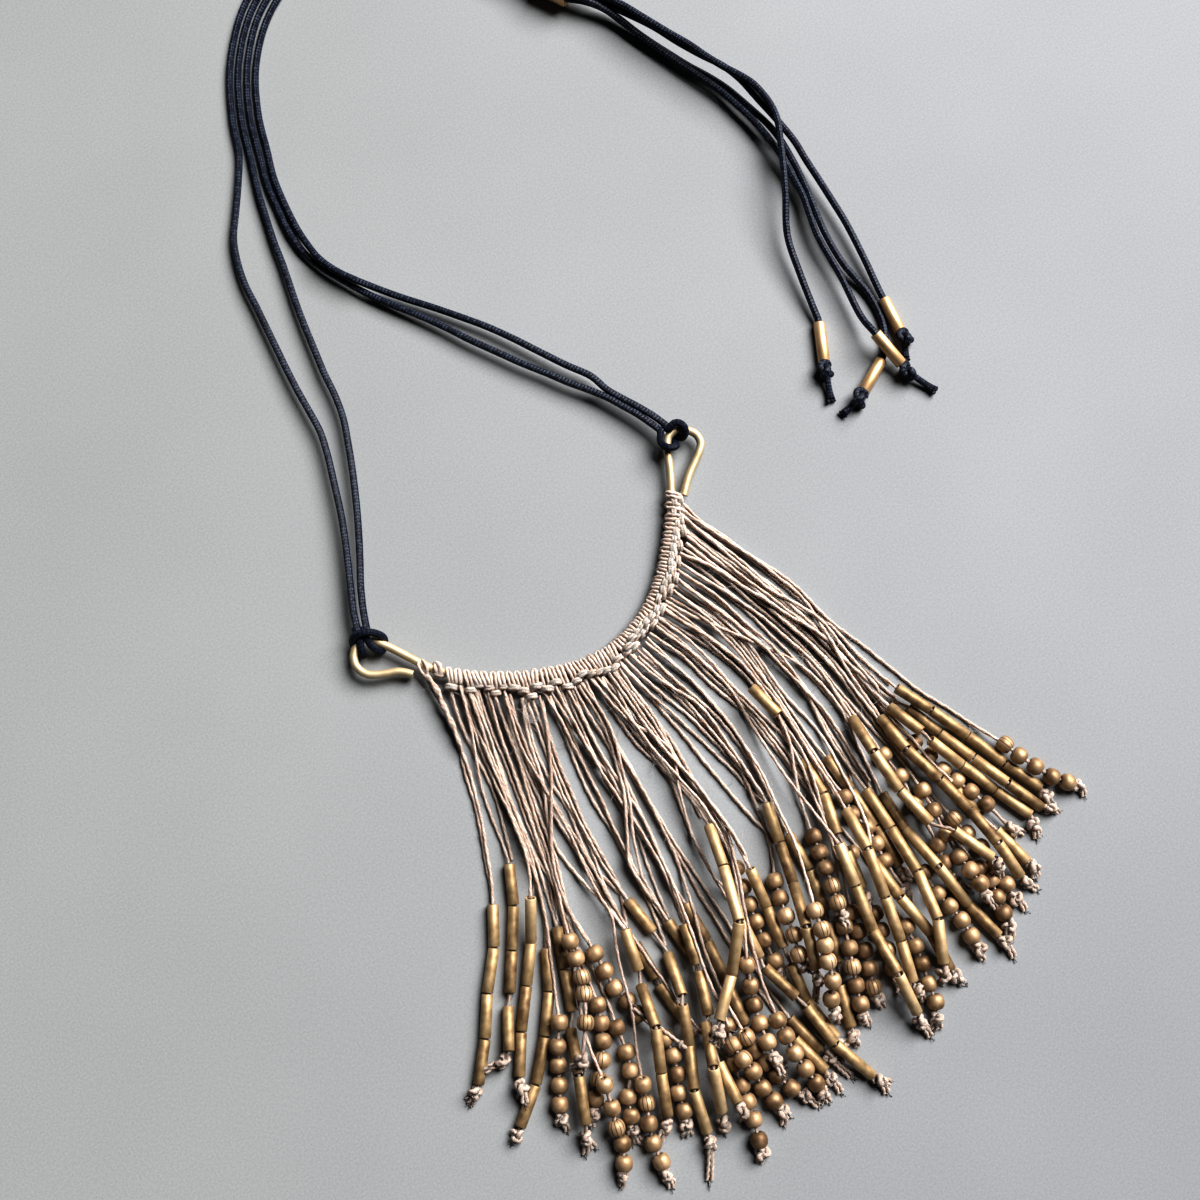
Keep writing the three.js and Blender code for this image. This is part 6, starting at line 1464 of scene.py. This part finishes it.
def carried_on(line, covered=2.4, farthest=18):
    """A strand that would stop in the open runs on, on the table, until it is under a bead."""
    end = line[-1]
    ahead = unit(end[:2] - line[-9][:2])
    gaps = bead_places - end[:2]
    far = np.linalg.norm(gaps, axis=1)
    wanted = (gaps @ ahead > 0.86 * far) & (far < farthest)
    if far.min() < covered or not wanted.any():
        return line
    target = np.append(gaps[np.where(wanted, far, np.inf).argmin()], -2.5)
    length = np.linalg.norm(target[:2])
    shares = np.arange(STRAND_STEP, length, STRAND_STEP) / length
    return np.vstack([line, held_up(end + shares[:, None] * target, 0.4)])


groups = {"left": [], "middle": [], "right": []}
for strand in strands:
    line = carried_on(strand)
    x = line[len(line) // 3][0]
    side = "left" if x < -12 else "middle" if x < 13 else "right"
    reach = np.arange(len(line)) * STRAND_STEP
    thick = dice.uniform(0.88, 1.06) + 0.07 * np.sin(reach / dice.uniform(1.5, 3) + dice.uniform(0, 6))
    # Threads further right are painted paler and those further left darker: painted light across the
    # fringe. The rest of their tone is chance.
    tone = 0.65 * dice.random() + 0.35 * float(np.interp(x, (-25, 25), (0, 1)))
    groups[side].append({"line": line, "tone": tone, "thick": thick})
for side, runs in groups.items():
    settle(thread_piece(f"fringe_threads_{side}", runs, THREAD), "taupe_thread", "fringe_head")

twist_line = smooth_line(TWIST_ROUTE, 0.7)
taper = np.interp(np.arange(len(twist_line))[::-1], (0, 7), (0.5, 1.0))
twist = {"line": twist_line, "tone": 0.3, "thick": taper}
settle(thread_piece("fringe_twist", [twist], THREAD, TWIST_RADIUS, sides=12, waist=0.34, pitch=7.0),
       "taupe_thread", "fringe_head")


def hair(place, reach, height):
    """A stray fibre that curls away from a thread."""
    turn = dice.uniform(0, 2 * math.pi)
    bend = dice.uniform(-1.2, 1.2)
    line = [np.array(place, float)]
    for k in range(5):
        turn += bend * 0.5 + dice.uniform(-0.2, 0.2)
        step = np.array([math.cos(turn), math.sin(turn), dice.uniform(-0.1, 0.25)]) * reach / 5
        line.append(line[-1] + step)
    return {"line": held_up(np.array(line), height), "tone": 0.9}


hairs = []
for strand in strands:
    for _ in range(3):
        hairs.append(hair(strand[dice.randrange(len(strand))], dice.uniform(1.0, 3.2), 0.15))
# A tuft of them stands off the threads under the band, left of its middle.
for _ in range(36):
    along = dice.random()
    place = (-17.5 - along + dice.uniform(-0.6, 0.6), -17.5 - 4.5 * along, 2.4)
    hairs.append(hair(place, dice.uniform(1, 2.2), 0.2))
settle(round_piece("stray_fibres", hairs, THREAD, FIBRE_RADIUS, sides=3),
       "taupe_thread", "fringe_head")


# ---- beads --------------------------------------------------------------------------------------
def bead_model(name, profile, sides, seamed):
    """A bead about its hole. A seamed bead's points keep how far round it they are."""
    verts, faces = lathe(profile, sides)
    mesh = bpy.data.meshes.new(name)
    mesh.from_pydata([tuple(np.array(v) * MM) for v in verts], [], faces)
    if seamed:
        mark(mesh, "meridian", [0.5 + math.atan2(y, x) / (2 * math.pi) for x, y, _ in verts])
    return bpy.data.objects.new(name, mesh)


def both_ends(profile):
    """One end's profile (r, z) followed by the other's, its mirror image."""
    return profile + [(r, -z) for r, z in reversed(profile)]


tube_model = bead_model("tube_bead", both_ends(
    [(0.76, -3.6), (0.8, -4), (0.99, -4), (1.07, -3.9)]), 16, False)
round_model = bead_model("round_bead", both_ends(
    [(0.5, -1.2), (0.56, -1.44), (1.0, -1.36), (1.42, -0.96), (1.62, -0.36)]), 18, True)


def frayed_tail(centre, end, tone):
    """Two strands from a knot to the tail's end, and the loose fibres past it."""
    mid = (centre + end) / 2 + np.array([dice.uniform(-0.3, 0.3), dice.uniform(-0.3, 0.3), 0.15])
    line = smooth_line([centre, mid, end], 0.4)
    thick = np.linspace(1.2, 1.0, len(line))
    aside = unit(np.cross(end - centre, UP)) * 0.32
    wander = np.linspace(0.6, 1.3, len(line))[:, None] * aside
    runs = [{"line": line + wander, "tone": tone, "thick": thick},
            {"line": line - wander, "tone": tone - 0.3, "thick": thick}]
    for _ in range(5):
        fibre = end + (end - mid) * 0.4 + np.array([dice.uniform(-0.6, 0.6) for _ in range(3)])
        fibre[2] = max(fibre[2], 0.1)
        runs.append({"line": [end - (end - mid) * 0.2, end, fibre], "tone": 0.8,
                     "thick": [0.6, 0.5, 0.2]})
    return runs


def end_knot(row, places):
    """The overhand knot under a string's last bead, with its tail and sometimes a second one."""
    centre = places[-1] + UP * 0.15
    ahead = unit(centre - places[-2])
    radius = 1.2 + 0.25 * max(0.0, row["knot"][2] - 0.9) + dice.uniform(-0.08, 0.12)
    line = trefoil(centre, radius + 0.42, 0.62, ahead, turn=dice.uniform(0, FULL_TURN), squash=1.0)
    tone = dice.uniform(0.5, 1.1)
    runs = [{"line": held_up(line, 0.6), "tone": tone, "thick": 1.5},
            {"line": [centre - ahead * 0.9, centre, centre + ahead * 0.9], "tone": tone, "thick": 1.7}]
    ends = [np.array([*row["tail"], 0.0])] if row["tail"] else []
    if not ends or dice.random() < 0.5:
        turned = dice.uniform(-0.7, 0.7)
        across = np.array([-ahead[1], ahead[0], 0])
        way = ahead * math.cos(turned) + across * math.sin(turned)
        ends.append(centre + way * dice.uniform(1.7, 2.6))
    for end in ends:
        end[2] = min(thread_heap.rest(end[0], end[1], 0.36, "tails"), centre[2])
        runs += frayed_tail(centre, end, tone)
    return runs


thread_runs, knot_runs = [], []
by_node = {}
for laid in laid_strings:
    row, places, kinds, opens = laid["row"], laid["places"], laid["kinds"], laid["opens"]
    beads = by_node.setdefault(row["node"], {"tube": [], "round": []})
    for i, (place, kind) in enumerate(zip(places, kinds)):
        # Beads low in the heap are painted darker and those high in it paler: painted shade for the gaps
        # between heaped beads. The rest of the tone is chance.
        height = min(max((place[2] - 2.2) / 4.5, 0.0), 1.0)
        bead = {"place": place, "stretch": (1, 1, 1), "tone": 0.5 * height + 0.5 * dice.random()}
        if kind == "tube" and i + 1 < len(places) and kinds[i + 1] == "tube" and not opens[i + 1]:
            gap = places[i + 1] - place
            length = np.linalg.norm(gap)
            bead["place"] = place + gap / 2
            bead["ahead"] = gap / length
            bead["stretch"] = (1, 1, (length - TUBE_BEAD_GAP) / TUBE_BEAD_LENGTH)
        if kind == "round":
            bead["ahead"] = unit(places[min(i + 1, len(places) - 1)] - places[max(i - 1, 0)])
        if "ahead" in bead:
            bead["spin"] = dice.uniform(0, FULL_TURN)
            beads[kind].append(bead)
    if len(places) > 2:
        thread_runs.append({"line": smooth_line(places, 0.6), "tone": dice.uniform(0, 0.5)})
    if row["knot"]:
        knot_runs += end_knot(row, places)

loose_knot = trefoil(np.array(LOOSE_KNOT), 1.2, 0.5, (0.4, -0.9, 0), turn=1.0, squash=1.0)
knot_runs.append({"line": smooth_line(LOOSE_THREAD, 0.5), "tone": 0.6})
knot_runs.append({"line": loose_knot, "tone": 0.7, "thick": 1.2})

for node, beads in by_node.items():
    for kind, model, finish in (("tube", tube_model, TUBES), ("round", round_model, ROUNDS)):
        if beads[kind]:
            piece = bead_piece(f"{node}_{kind}_beads", beads[kind], model, finish)
            settle(piece, "aged_brass", node)
settle(thread_piece("bead_threads", thread_runs, ENDS_PAINTED_DARKER), "taupe_thread")
settle(thread_piece("end_knots", knot_runs, ENDS_PAINTED_DARKER, END_KNOT_RADIUS, waist=0.3, pitch=2.4),
       "taupe_thread")


# ---- the table and the light --------------------------------------------------------------------
def table_finish():
    """A matt pale grey with a few specks, with painted shade: darker and a little bluer to one side, and
    dimmer at a corner, where the light falls off.
    """
    f = Finish("pale_table", 0.66)
    f.coat("Specular IOR Level", 0.42)
    grain = f.noise(0.4, 2.0)
    shade = f.add(f.times(f.noise(60.0, 4.0), 0.3), f.times(grain, 0.7))
    base = f.ramp(shade, (0.34, (0.275, 0.281, 0.289)), (0.66, (0.328, 0.335, 0.343)))

    # The necklace lies turned on the table: these run across and down the table itself. Along them the
    # table gets painted shade, darker and bluer to one side and dimmer at one corner, as the window's
    # light falls off.
    split = f.node("ShaderNodeSeparateXYZ", None, {0: f.place}).outputs
    cosine, sine = 0.835, 0.55
    across = f.less(f.times(split[0], cosine), f.times(split[1], sine))
    down = f.add(f.times(split[0], -sine), f.times(split[1], -cosine))
    side = f.times(across, 4.0)
    painted_light_tint = f.ramp(f.add(side, 0.5), (0.0, (0.985, 0.997, 0.983)), (0.5, (1.0, 1.01, 1.02)),
                  (1.0, (0.93, 0.94, 0.975)))
    corner = f.times(f.math("ADD", side, 0.4, True), f.math("ADD", f.times(down, 4.5), 0.2, True))
    painted_corner_shade = f.ramp(corner, (0.1, (1, 1, 1)), (1.0, (0.87, 0.87, 0.87)))
    painted_light_tint = f.mix(1.0, painted_light_tint, painted_corner_shade, "MULTIPLY")

    dust = f.node("ShaderNodeTexVoronoi", None, {"Vector": f.place, "Scale": 1 / (22 * MM)})
    pick = f.node("ShaderNodeSeparateColor", None, {0: dust.outputs["Color"]}).outputs[0]
    speck = f.math("LESS_THAN", dust.outputs["Distance"], f.times(pick, 0.012))
    base = f.mix(speck, base, (0.5, 0.5, 0.5))
    f.coat("Base Color", f.mix(1.0, base, painted_light_tint, "MULTIPLY"))
    f.bump(grain, 0.2, 0.06)
    return f.material


TABLE_HALF = 1.2
corners = [(TABLE_HALF * x, TABLE_HALF * y, 0) for x, y in ((-1, -1), (1, -1), (1, 1), (-1, 1))]
mesh_piece("table", corners, [(0, 1, 2, 3)], table_finish(), False)

# One large window, high on the right.
window = bpy.data.lights.new("window", "AREA")
window.shape = "SQUARE"
window.size = 2.7
window.energy = 372.0
window.color = (1.0, 0.985, 0.965)
aimed("window", window, (2.6, 0.56, 2.7), (0, 0, 0))

# The room throws little light on the table, and is pale where it shows behind it.
world = bpy.data.worlds.new("room")
world.use_nodes = True
bpy.context.scene.world = world
room = Nodes(world.node_tree)
backdrop = world.node_tree.nodes["Background"]
seen = room.node("ShaderNodeLightPath").outputs["Is Camera Ray"]
room.put(backdrop, "Color", (0.79, 0.81, 0.86, 1))
room.put(backdrop, "Strength", room.add(room.times(seen, 0.6), 0.02))

response = bpy.context.scene.view_settings
response.view_transform = "Standard"
response.gamma = 0.67
response.exposure = 0.31
